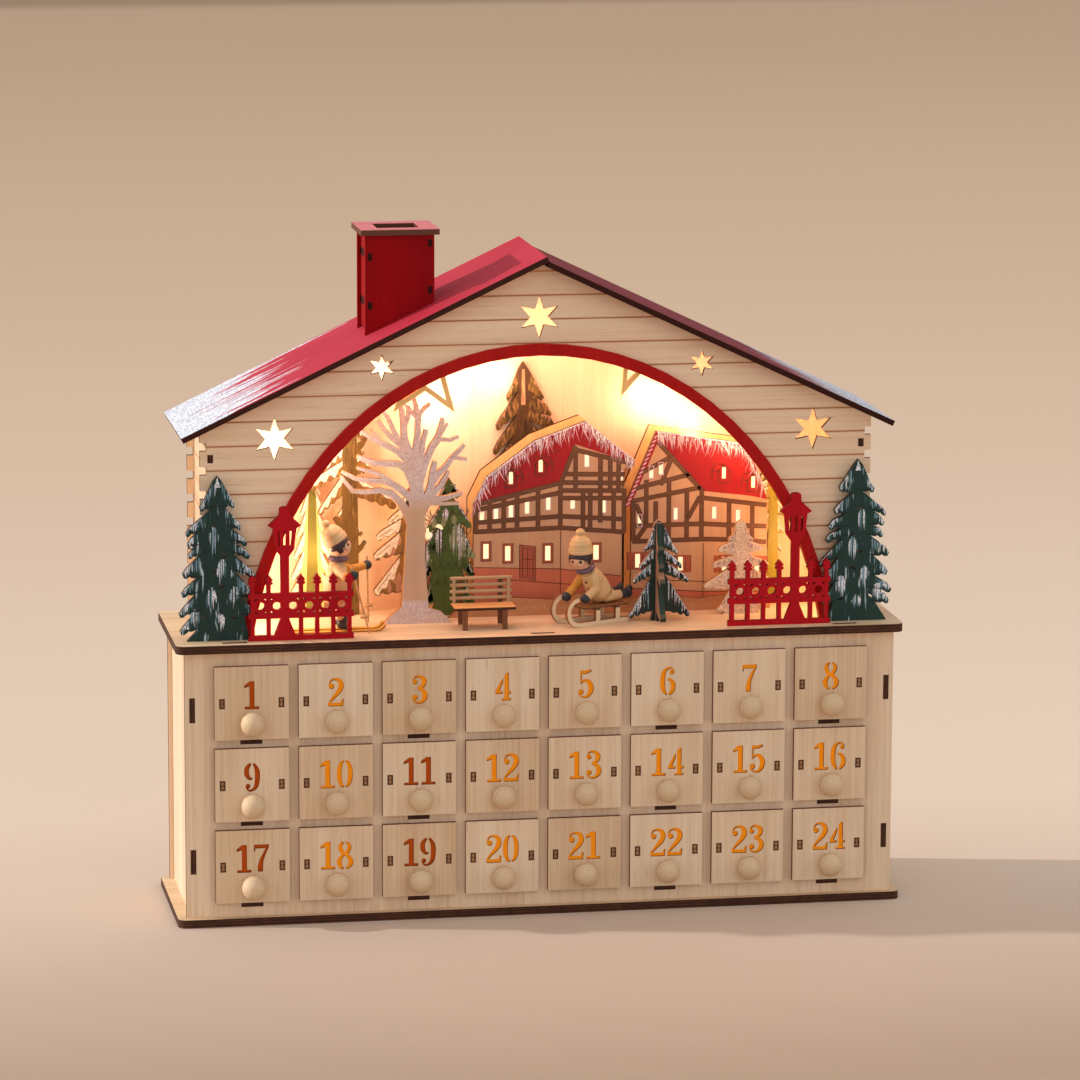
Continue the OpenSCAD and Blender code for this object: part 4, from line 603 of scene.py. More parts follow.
def rect(x0, y0, x1, y1):  # the four corners, counterclockwise
    return np.array([(x0, y0), (x1, y0), (x1, y1), (x0, y1)], float)


def unit(vector):  # the vector over its own length
    vector = np.asarray(vector, float)
    return vector / np.linalg.norm(vector)


def waysAcross(axis):  # the axis as a unit, and two units square to it and to each other
    axis = unit(axis)
    helper = np.array([0.0, 0.0, 1.0]) if abs(axis[2]) < 0.9 else np.array([1.0, 0.0, 0.0])
    side = unit(np.cross(helper, axis))
    return axis, side, np.cross(axis, side)


# A profile turned about an axis: point = start + height * axis + radius * (cos, sin) across the axis
def turned(heap, profile, start, axis, paint=0, count=28, smooth=True):
    axis, side, other = waysAcross(axis)
    start = np.asarray(start, float)
    angles = np.arange(count) * 2 * math.pi / count
    ring = np.cos(angles)[:, None] * side + np.sin(angles)[:, None] * other
    here = np.arange(count)
    there = np.roll(here, -1)
    points, faces, base, last = [], [], 0, None
    for radius, height in profile:
        point = radius < 1e-6
        points.append((start + height * axis)[None, :] if point else start + height * axis + radius * ring)
        row = (base, 1 if point else count)
        if last and (last[1] > 1 or row[1] > 1):
            a, b = last[0], row[0]
            if last[1] == 1:
                faces += np.stack([np.full(count, a), b + there, b + here], 1).tolist()
            elif point:
                faces += np.stack([a + here, a + there, np.full(count, b)], 1).tolist()
            else:
                faces += np.stack([a + here, a + there, b + there, b + here], 1).tolist()
        base += row[1]
        last = row
    points = np.concatenate(points)
    heap.add(points, faces, paint, smooth, (points - start) @ np.stack([side, axis, other], 1))


# Half a circle from pole to pole: radius times the cosine, at a height of radius times the sine
def ballProfile(radius, squash=1.0, steps=12):
    angles = np.radians(np.linspace(-90, 90, steps))
    return [(max(radius * math.cos(a), 0.0 if abs(abs(math.degrees(a)) - 90) < 0.1 else 1e-4),
             radius * squash * math.sin(a))
            for a in angles]


# A ball, its height squashed along the axis
def ball(heap, place, radius, paint=0, axis=(0, 0, 1), squash=1.0, count=24):
    profile = ballProfile(radius, squash)
    profile[0], profile[-1] = (0.0, profile[0][1]), (0.0, profile[-1][1])
    turned(heap, profile, place, axis, paint, count)


def limb(heap, start, end, startR, endR, paint=0, count=18):  # a rod with rounded ends
    start, end = np.asarray(start, float), np.asarray(end, float)
    length = float(np.linalg.norm(end - start))
    caps = np.radians(np.linspace(-90, 0, 6))
    low = [(startR * math.cos(a), startR * math.sin(a)) for a in caps]
    high = [(endR * math.cos(a), length - endR * math.sin(a)) for a in caps[::-1]]
    profile = [(0.0, low[0][1])] + low[1:] + high[:-1] + [(0.0, high[-1][1])]
    turned(heap, profile, start, end - start, paint, count)


# A ring closed both ways: its reach is the radius plus thick times the cosine round its own section
def loopRing(heap, place, radius, thick, axis, paint=0, count=30, sides=12, squash=1.0):
    axis, side, other = waysAcross(axis)
    long = np.arange(count) * 2 * math.pi / count
    short = np.arange(sides) * 2 * math.pi / sides
    out = np.cos(long)[:, None] * side + np.sin(long)[:, None] * other
    reach = radius + thick * np.cos(short)
    points = (np.asarray(place, float) + out[:, None, :] * reach[None, :, None]
              + (thick * squash * np.sin(short))[None, :, None] * axis).reshape(-1, 3)
    i, j = np.meshgrid(np.arange(count), np.arange(sides), indexing="ij")
    k, m = (i + 1) % count, (j + 1) % sides
    quads = np.stack([i * sides + j, k * sides + j, k * sides + m, i * sides + m], -1).reshape(-1, 4)
    heap.add(points, quads.tolist(), paint, True)


# Numbers: strokes in a cell one high and 0.56 wide
strokes = {
    "0": [
        ("band", [(.25, .97, .07), (.15, .88, .13), (.09, .66, .17), (.09, .34, .17), (.15, .12, .13),
            (.25, .03, .07)]),
        ("band", [(.31, .97, .07), (.41, .88, .13), (.47, .66, .17), (.47, .34, .17), (.41, .12, .13),
            (.31, .03, .07)])],
    "1": [
        ("area", [(.20, .06), (.38, .06), (.38, 1), (.20, 1)]),
        ("area", [(.04, 0), (.54, 0), (.54, .10), (.04, .10)]),
        ("area", [(.21, 1), (.02, .86), (.02, .76), (.21, .82)])],
    "2": [
        ("dot", (.13, .72, .10)),
        ("band", [(.045, .74, .06), (.10, .92, .07), (.26, .975, .09), (.42, .90, .16),
            (.47, .72, .19), (.38, .52, .17), (.20, .32, .12), (.06, .14, .08), (.04, .05, .08)]),
        ("area", [(.02, 0), (.50, 0), (.50, .13), (.02, .13)]),
        ("area", [(.42, 0), (.54, 0), (.56, .26), (.50, .26), (.44, .12)])],
    "3": [
        ("dot", (.12, .78, .09)),
        ("band", [(.05, .82, .05), (.14, .96, .07), (.28, .97, .10), (.42, .88, .16), (.44, .74, .18),
            (.36, .60, .13), (.22, .54, .08)]),
        ("band", [(.22, .54, .08), (.38, .48, .13), (.47, .34, .18), (.46, .18, .18), (.34, .05, .11),
            (.20, .03, .08), (.08, .10, .06), (.05, .18, .05)]),
        ("dot", (.12, .22, .10))],
    "4": [
        ("area", [(.02, .24), (.28, .24), (.28, .34), (.17, .34), (.30, .66), (.30, .80), (.22, .72),
            (.02, .36)]),
        ("area", [(.34, .06), (.50, .06), (.50, 1), (.42, 1), (.34, .90)]),
        ("area", [(.34, .24), (.58, .24), (.58, .34), (.34, .34)]),
        ("area", [(.24, 0), (.58, 0), (.58, .085), (.24, .085)])],
    "5": [
        ("band", [(.10, .93, .13), (.28, .92, .13), (.44, .97, .10), (.50, 1.0, .04)]),
        ("area", [(.09, .50), (.15, .50), (.15, .98), (.09, .98)]),
        ("band", [(.12, .52, .05), (.22, .62, .09), (.36, .60, .15), (.47, .44, .19), (.47, .24, .19),
            (.36, .06, .12), (.22, .03, .08), (.08, .10, .06), (.05, .18, .05)]),
        ("dot", (.12, .22, .10))],
    "6": [
        ("band", [(.50, .84, .05), (.42, .96, .07), (.30, .97, .09), (.15, .84, .15), (.10, .56, .18),
            (.11, .26, .17), (.20, .06, .10), (.255, .03, .07)]),
        ("dot", (.43, .82, .085)),
        ("band", [(.27, .555, .07), (.38, .54, .12), (.47, .40, .17), (.47, .20, .17),
            (.38, .06, .12), (.315, .03, .07)])],
    "7": [
        ("area", [(.02, .76), (.07, .76), (.07, 1), (.02, 1)]),
        ("area", [(.02, .86), (.54, .86), (.54, 1), (.02, 1)]),
        ("band", [(.50, .90, .08), (.38, .66, .11), (.28, .42, .15), (.24, .18, .19), (.24, .02, .18)])],
    "8": [
        ("band", [(.24, .97, .07), (.13, .88, .13), (.12, .74, .16), (.19, .60, .15), (.24, .55, .12),
            (.17, .46, .12), (.09, .34, .17), (.08, .20, .17), (.15, .06, .12), (.24, .03, .07)]),
        ("band", [(.31, .97, .07), (.42, .88, .12), (.43, .74, .15), (.36, .60, .14), (.31, .53, .12),
            (.40, .44, .14), (.48, .32, .17), (.48, .18, .17), (.40, .06, .12), (.31, .03, .07)])],
}


def strokeLoop(kind, data):  # an area as drawn, a band of changing width, or a dot
    return {"area": lambda: np.array(data, float), "band": lambda: ribbon(data, 5),
            "dot": lambda: disc(*data, 16)}[kind]()


def digitLoops(digit, x, z, height):  # a nine is a six turned half round
    loops = [strokeLoop(*stroke) for stroke in strokes["6" if digit == "9" else digit]]
    if digit == "9":
        loops = [np.array([.56, 1.0]) - loop for loop in loops]
    return [loop * height + [x, z] for loop in loops]


# The 24 drawers: a cut front over a lit inlay, a tray of four boards, and a turned knob
drawerSet = {"pitchX": 45.0, "pitchZ": 44.6, "firstZ": 8.0, "front": 39.7, "frontH": 39.8, "thick": 3.0,
             "sideX": 15.85, "tenonLow": 17.2, "tenonHigh": 22.6, "tenonGap": 0.05, "tenonSunk": 0.12,
             "trayH": 35.5, "trayL": 82.0, "trayW": 34.7, "runGap": 0.1, "floor": 2.0,
             "digitH": 15.2, "digitW": 0.56, "digitLow": 16.6, "digitGap": 0.8, "inlayEdge": (1.2, 0.8),
             "inlayY": (-1.5, -0.4), "markY": (-2.94, -2.4),
             "knobZ": 9.3, "knobR": 6.5, "knobOut": 11.5, "knobNeck": -50.3, "dim": (1, 9, 11, 17, 19)}
tenonMark = [(-0.75, 18.0), (0.75, 18.0), (0.75, 19.2), (0.3, 19.5), (0.3, 20.4), (0.75, 20.7), (0.75, 21.8),
             (-0.75, 21.8), (-0.75, 20.7), (-0.3, 20.4), (-0.3, 19.5), (-0.75, 19.2)]
finishes["endGrain"] = painted("endGrain", (176, 128, 84), (140, 92, 54), None)
drawerTones = [(tone(242, 216, 184), tone(220, 186, 150)), (tone(236, 208, 174), tone(212, 176, 138)),
    (tone(244, 220, 190), tone(226, 194, 160))]
drawerFaces = [plywood(f"drawerPly{i}", "Y", "Z", face=a, shade=b, scale=1.0 + 0.07 * i)
    for i, (a, b) in enumerate(drawerTones)]


def drawerPlace(number):  # eight to a row: the column less 3.5 times the pitch, and the rows from the top
    column, row = (number - 1) % 8, 2 - (number - 1) // 8
    return (column - 3.5) * drawerSet["pitchX"], drawerSet["firstZ"] + row * drawerSet["pitchZ"]


# The loops of the number's digits, side by side about the middle, and half their width
def drawerNumber(number, x, z):
    s = drawerSet
    digits, wide = str(number), s["digitW"] * s["digitH"]
    start = x - (len(digits) * wide + (len(digits) - 1) * s["digitGap"]) / 2
    step, foot = wide + s["digitGap"], z + s["digitLow"]
    loops = [loop for i, digit in enumerate(digits)
             for loop in digitLoops(digit, start + i * step, foot, s["digitH"])]
    return loops, len(digits) * wide / 2


# Sides with tenons through the front, a floor, and a back halved into the sides
def drawerTray(heap, x, z):
    s = drawerSet
    wall, low = s["thick"], z + s["runGap"]
    high, third, back = low + s["trayH"], s["trayH"] / 3, s["trayL"] - wall
    for side in (-1, 1):
        middle = x + side * s["sideX"]
        tip = -wall + s["tenonSunk"]
        outline = [(0, low), (s["trayL"], low), (s["trayL"], low + third), (back, low + third),
                   (back, low + 2 * third), (s["trayL"], low + 2 * third), (s["trayL"], high), (0, high),
                   (0, z + s["tenonHigh"]), (tip, z + s["tenonHigh"]), (tip, z + s["tenonLow"]),
                   (0, z + s["tenonLow"])]
        slab(heap, outline, middle + wall / 2, middle - wall / 2, 4, 1, "side")
        slab(heap, np.array(tenonMark) + [middle, z], *s["markY"], 5)
    inner = s["trayW"] / 2 - wall
    slab(heap, rect(x - inner, 0, x + inner, back), low + s["floor"], low, 0, 1, "flat")
    rightEdge = [(inner, low), (inner, low + third), (inner + wall, low + third),
                 (inner + wall, low + 2 * third), (inner, low + 2 * third), (inner, high)]
    outline = [(x - u, v) for u, v in rightEdge[::-1]] + [(x + u, v) for u, v in rightEdge]
    slab(heap, outline, back, s["trayL"], 0, 1)


def drawerKnob(x, z):  # a ball's profile from its neck to its tip: radius times cosine, radius times sine
    s, knob = drawerSet, Heap()
    arc = [(s["knobR"] * math.cos(a), s["knobR"] * math.sin(a))
           for a in np.radians(np.linspace(s["knobNeck"], 74, 15))]
    centre = s["knobOut"] - s["knobR"]
    profile = ([(0.0, -0.6), (arc[0][0], -0.6)] + [(r, centre + h) for r, h in arc]
               + [(1.2, centre + s["knobR"] * 0.975), (0.0, centre + s["knobR"] * 0.985)])
    turned(knob, profile, (x, -s["thick"], z + s["knobZ"]), (0, -1, 0), 0, 32)
    return knob


def buildDrawer(number):  # the front is a board less its digits and its two tenon slots
    s, heap = drawerSet, Heap()
    x, z = drawerPlace(number)
    half, slot, gap = s["front"] / 2, s["thick"] / 2 + s["tenonGap"], s["tenonGap"]
    digits, reach = drawerNumber(number, x, z)
    slots = [rect(x + side * s["sideX"] - slot, z + s["tenonLow"] - gap, x + side * s["sideX"] + slot,
                  z + s["tenonHigh"] + gap) for side in (-1, 1)]
    cutBoard(heap, rect(x - half, z, x + half, z + s["frontH"]), digits + slots, -s["thick"], 0.0, 0, 2)
    span, edge, base = reach + s["inlayEdge"][0], s["inlayEdge"][1], z + s["digitLow"]
    slab(heap, rect(x - span, base - edge, x + span, base + s["digitH"] + edge), *s["inlayY"], 3)
    drawerTray(heap, x, z)
    name, body = f"drawer_{number:02d}", f"drawer_{number:02d}_box"
    face = drawerFaces[(number * 7 + number // 3) % 3]
    inlay = finishes["inlayDim" if number in s["dim"] else "inlay"]
    board = [face, finishes["drawerCut"], finishes["digitCut"], inlay, finishes["sidePanel"],
             finishes["endGrain"]]
    heap.piece(f"{name}_board", board, body, "drawer_ply", [name], stage=False)
    drawerKnob(x, z).piece(f"{name}_knob", [finishes["knob"]], body, "drawer_ply", [name],
        stage=False, spots=True)


for number in range(1, 25):
    buildDrawer(number)
print("24 drawers built")


def dress(name, material):  # a CAD node keeps its shape and takes this one material
    slots = nodes[name].data.materials
    slots.clear()
    slots.append(material)


for name, key in {"base_plate": "plate", "stage_plate": "plate", "case_front": "panel", "case_back": "panel",
        "case_sides": "sidePanel", "drawer_shelves": "shelf", "drawer_dividers": "sidePanel",
        "house_front": "facade", "house_back": "backWall", "house_sides": "wallPanel", "arch_trim": "arch",
        "roof_left": "roofLeft", "roof_right": "roofRight", "chimney_walls": "chimney", "chimney_cap": "cap",
        "hanging_stars": "starGlow", "lamp_fences": "fence", "cottage_left": "plaster",
        "cottage_right": "plaster", "cottage_backings": "star", "led_lights": "lens",
        "battery_box": "boxBlack", "battery_cover": "boxBlack", "power_switch": "switchBlack"}.items():
    dress(name, finishes[key])
dress("bare_tree", bareTree)
dress("corner_pines", pineCoat)


# A strip of one width along a route of X and Z, laid on a board
def strip(heap, route, width, near, far, paint=0):
    rows = [(x, z, width) for x, z in route]
    slab(heap, ribbon(rows, 1), near, far, paint)


def strips(heap, routes, width, near, far, paint=0):  # one strip for each route
    for route in routes:
        strip(heap, route, width, near, far, paint)


# A board of one width round a rectangle: the grown rectangle less the rectangle
def frameRound(heap, x0, z0, x1, z1, width, near, far, paint=0):
    cutBoard(heap, rect(x0 - width, z0 - width, x1 + width, z1 + width), [rect(x0, z0, x1, z1)], near, far,
             paint, paint)


# Snow streaks: thin blades at random places along an edge, as long as down times a share to the power 1.3
def streaks(heap, edge, down, count, near, far, paint, seed, width=0.55, spread=0.25):
    rng = np.random.default_rng(seed)
    edge = np.asarray(edge, float)
    lengths = np.concatenate([[0], np.cumsum(np.linalg.norm(np.diff(edge, axis=0), axis=1))])
    at = np.sort(rng.uniform(0, lengths[-1], count))
    tops = np.stack([np.interp(at, lengths, edge[:, 0]), np.interp(at, lengths, edge[:, 1])], 1)
    reach = down * rng.uniform(0.25, 1.0, count) ** 1.3
    lean = rng.normal(0, spread, count)
    for (x, z), long, slant, share in zip(tops, reach, lean, rng.uniform(0.5, 1.3, count)):
        half = width * share / 2
        shift = slant * long
        blade = [(x - half, z - 0.15), (x + half, z - 0.15), (x + half * 0.7 + shift * 0.5, z - long * 0.6),
                 (x + shift, z - long), (x - half * 0.6 + shift * 0.4, z - long * 0.55)]
        slab(heap, blade, near - 0.02 * share, far, paint)


# The cottages: tiled roofs, timbers, plinths, doors and lit panes, laid on the cut boards
cottageSet = {"frontY": 55.87, "leftX": -28.76, "leftW": 89.2, "leftH": 105.2, "rightX": 54.43,
              "rightW": 80.0, "rightH": 98.8, "paneW": 0.026, "paneH": 0.064, "lowW": 0.034, "lowH": 0.078}
leftPanes = [(0.052, 0.508), (0.138, 0.521), (0.231, 0.539), (0.331, 0.556), (0.462, 0.573), (0.613, 0.575),
             (0.806, 0.55), (0.7, 0.794), (0.91, 0.7), (0.23, 0.713), (0.414, 0.772)]
leftLow = [(0.077, 0.331), (0.212, 0.317), (0.46, 0.312), (0.76, 0.309)]
rightPanes = [(0.188, 0.77), (0.255, 0.789), (0.109, 0.5), (0.36, 0.533), (0.629, 0.533), (0.796, 0.512),
              (0.694, 0.756), (0.9, 0.7)]
rightLow = [(0.097, 0.275), (0.396, 0.251), (0.704, 0.244), (0.932, 0.233)]
tile, timber, plinth, frameRed, ink, frost, rose, pane = range(8)
cottageFinishes = [finishes[key] for key in ("tile", "timber", "plinth", "frameRed", "ink", "frost",
    "frostRose", "pane")]


# Burnt lines round a gable, its roof and its eave, times the size
def dormer(heap, x, z, size, face, side=1):
    front = [(-3, -5), (-3, 1), (0, 4.4), (3, 1), (3, -5), (-3, -5)]
    back = [(0, 4.4), (4.6 * side, 5.0), (6.6 * side, 1.2), (6.2 * side, -2.6)]
    eave = [(-4.0, 0.2), (0, 4.6), (4.0, 0.2)]
    for route in (front, back, eave, [(3 * side, 1), (6.6 * side, 1.2)]):
        strip(heap, [(x + u * size, z + v * size) for u, v in route], 0.55, face - 0.16, face + 0.2, ink)


def beams(heap, face, rails, posts, width=1.8, post=1.9):  # a wider burnt line lies under every timber
    strips(heap, rails + posts, post + 0.7, face - 0.1, face + 0.2, ink)
    strips(heap, rails, width, face - 0.12, face + 0.2, timber)
    strips(heap, posts, post, face - 0.13, face + 0.2, timber)


# Middle, half width and half height of each pane, from its shares of the cottage
def paneSpots(side, rows, low=False):
    c = cottageSet
    x0, w, h = (c[side + key] for key in "XWH")
    wide, high = (c["lowW"], c["lowH"]) if low else (c["paneW"], c["paneH"])
    return [(x0 + p * w, q * h, wide * w / 2, high * h / 2) for p, q in rows]


def cottagePanes(heap, side, upper, lower, face):  # lit panes behind the front of the cut openings
    for x, z, half, tall in paneSpots(side, upper) + paneSpots(side, lower, True):
        slab(heap, rect(x - half, z - tall, x + half, z + tall), face + 0.7, face + 1.6, pane)


def snowEdge(heap, edge, face, seed, rows):  # three coats of streaks, then a strip of snow along the edge
    for step, (paint, down, count, width, proud) in enumerate(rows[:3]):
        streaks(heap, edge, down, count, face - proud, face + 0.1, paint, seed + step, width)
    width, proud = rows[3]
    strip(heap, edge, width, face - proud, face + 0.1, frost)


# Left cottage: every outline in mm from the middle of the stage, laid a little proud of the board
def leftCottage():
    heap, face, x0 = Heap(), cottageSet["frontY"], cottageSet["leftX"]
    roof = [(x0, 61), (-21.4, 75.9), (5.1, 95.1), (32.8, 105.1), (60.3, 82.8), (60.0, 81.2), (27.3, 92.6),
            (19.1, 72.4)]
    dormers = paneSpots("left", leftPanes[9:])
    cutBoard(heap, roof, [rect(x - 1.3, z - 3.5, x + 1.3, z + 3.5) for x, z, *_ in dormers],
             face - 0.08, face + 0.3, tile, tile)
    slab(heap, [(x0 + 0.2, 0.4), (53.0, 0.4), (53.0, 19.2), (19.2, 24.2), (x0 + 0.2, 26.2)], face - 0.06,
         face + 0.3, plinth)
    beams(heap, face,
          [[(-28.4, 45.8), (19.1, 46.8), (55.1, 43.4)], [(-28.2, 50.8), (19.1, 53.2), (55.1, 50.5)],
           [(-28.2, 60.6), (19, 71.6)], [(-28.2, 57.6), (19, 66.2)], [(19.3, 63.2), (54.6, 62.2)],
           [(19.3, 67.4), (54.6, 66.4)], [(20.2, 71.8), (54.6, 70.6)], [(21.6, 76.4), (54.6, 75.4)],
           [(19.4, 72.0), (27.2, 91.8)], [(27.4, 89.6), (47.5, 84.2), (59.6, 81.0)]],
          [[(-27.6, 45), (-27.6, 60.4)], [(-20, 45.6), (-20, 61.6)], [(-12.2, 45.8), (-12.2, 63.6)],
           [(-4.8, 46.2), (-4.8, 65.2)], [(6.7, 46.6), (6.7, 68.0)], [(19.1, 46.8), (19.1, 72)],
           [(31.6, 46.2), (31.6, 67)], [(35.6, 46), (35.6, 67)], [(48.6, 44.8), (48.6, 67)],
           [(54.4, 43.6), (54.4, 67.4)], [(27.4, 68.6), (27.4, 90.4)], [(41.2, 49), (41.2, 85.4)],
           [(46.6, 67), (46.6, 83.8)], [(51.2, 67), (51.2, 82.6)]])
    burnt = [[(x0 + 0.3, 26.1), (19.2, 24.0), (53.1, 19.0)], [(x0 + 0.3, 20.8), (19.3, 15.8), (53.1, 12.4)],
             [(19.3, 46), (19.3, 8)], [(-21.4, 75.9), (-8, 81.2), (5.1, 86), (19.4, 89.6)]]
    strips(heap, burnt, 0.42, face - 0.1, face + 0.2, ink)
    door = [(-3.4, 38), (5.5, 36.7), (5.5, 17.8), (-3.4, 19.4)]
    slab(heap, door, face - 0.08, face + 0.2, frameRed)
    strips(heap, [door + door[:1], [(-1.8, 36.2), (4.1, 35.3), (4.1, 19.2), (-1.8, 20.4), (-1.8, 36.2)],
                  [(1.1, 35.8), (1.1, 19.8)], [(-1.8, 30.2), (4.1, 29.6)]], 0.4, face - 0.14, face + 0.2, ink)
    for x, z, half, tall in paneSpots("left", leftLow, True):
        frameRound(heap, x - half, z - tall, x + half, z + tall, 1.15, face - 0.08, face + 0.2, frameRed)
        frameRound(heap, x - half - 1.1, z - tall - 1.1, x + half + 1.1, z + tall + 1.1, 0.36, face - 0.1,
                   face + 0.2, ink)
    for x, z, half, tall in paneSpots("left", leftPanes[:9]):
        frameRound(heap, x - half, z - tall, x + half, z + tall, 0.5, face - 0.09, face + 0.2, rose)
    for x, z, *_ in dormers:
        dormer(heap, x, z, 1.0, face)
    ridge = [(x0 + 0.4, 61.6), (-21.4, 75.6), (5.1, 94.8), (32.8, 104.8), (60.0, 82.8)]
    snowEdge(heap, ridge, face, 5, [(rose, 11.0, 170, 0.5, 0.13), (frost, 9.0, 150, 0.55, 0.16),
        (tile, 6.0, 110, 0.4, 0.19), (0.9, 0.12)])
    cottagePanes(heap, "left", leftPanes, leftLow, face)
    heap.piece("cottage_left_paint", cottageFinishes, slot="cottage_board")


# Right cottage: the same, with a striped verge down its left slope
def rightCottage():
    heap, face = Heap(), cottageSet["frontY"]
    roof = [(72.0, 98.7), (123.0, 90.3), (134.3, 59.4), (124.8, 61.6), (98.4, 65.0), (73.2, 93.4)]
    dormers = paneSpots("right", rightPanes[6:])
    cutBoard(heap, roof, [rect(x - 1.2, z - 3.3, x + 1.2, z + 3.3) for x, z, *_ in dormers],
             face - 0.08, face + 0.3, tile, tile)
    slab(heap, [(72.0, 98.6), (73.4, 94.0), (58.0, 58.0), (54.6, 56.9)], face - 0.1, face + 0.3, tile)
    slab(heap, [(58.7, 0.4), (134.0, 0.4), (134.0, 8.2), (98.8, 9.0), (58.7, 12.0)], face - 0.06,
         face + 0.3, plinth)
    beams(heap, face,
          [[(59.0, 38.0), (98, 38.2), (113.2, 37.6), (134, 35.6)],
           [(59.0, 46.6), (97.9, 46.8), (113.1, 45.6), (134, 44.4)],
           [(59.0, 60.4), (97, 67.0)], [(60.2, 67.3), (91.4, 74.6)], [(64.0, 76.0), (80.4, 84.4)],
           [(98, 61.2), (134, 56.2)], [(73.2, 92.6), (98.6, 64.2)]],
          [[(59.6, 38), (59.6, 61)], [(66.7, 46), (66.7, 72)], [(72, 60), (72, 38)], [(79.3, 38), (79.3, 73)],
           [(89.3, 38), (89.3, 66)], [(97.6, 37), (97.6, 65)], [(113, 37), (113, 60)], [(126, 36), (126, 58)],
           [(61, 58.6), (66, 47.6)], [(90, 50), (96.6, 62)], [(61.4, 39), (66.4, 46)],
           [(80.6, 83.4), (74.6, 68.8)]])
    strips(heap, [[(98.8, 36), (98.8, 0.6)], [(58.8, 12.0), (98.8, 9.0), (134, 8.2)],
                  [(59, 17), (98.6, 14.6), (133.8, 13.6)]], 0.42, face - 0.1, face + 0.2, ink)
    for x, z, half, tall in paneSpots("right", rightLow, True):
        frameRound(heap, x - half, z - tall, x + half, z + tall, 1.1, face - 0.08, face + 0.2, frameRed)
        for side in (-1, 1):
            middle = x + side * (half + 2.9)
            shutter = rect(middle - 1.5, z - tall - 0.8, middle + 1.5, z + tall + 0.8)
            slab(heap, shutter, face - 0.09, face + 0.2, frameRed)
            strip(heap, np.concatenate([shutter, shutter[:1]]), 0.34, face - 0.12, face + 0.2, ink)
    for x, z, half, tall in paneSpots("right", rightPanes[:6]):
        frameRound(heap, x - half, z - tall, x + half, z + tall, 0.5, face - 0.14, face + 0.2, rose)
    for x, z, *_ in dormers:
        dormer(heap, x, z, 1.05, face, -1)
    ridge = [(72.6, 98.4), (123.0, 90.0), (131.6, 67.0)]
    snowEdge(heap, ridge, face, 8, [(rose, 10.5, 130, 0.5, 0.14), (frost, 8.5, 110, 0.55, 0.17),
        (tile, 6.0, 80, 0.4, 0.2), (0.8, 0.13)])
    for i in range(16):
        x = 56.6 + i * 1.02
        z = 58.4 + (x - 56.4) * 2.4
        slab(heap, [(x - 1.1, z - 1.0), (x + 0.9, z + 0.1), (x + 1.2, z + 1.2), (x - 0.9, z + 0.1)],
             face - 0.14, face + 0.1, rose)
    cottagePanes(heap, "right", rightPanes, rightLow, face)
    heap.piece("cottage_right_paint", cottageFinishes, slot="cottage_board")


leftCottage()
rightCottage()
print("cottages painted")

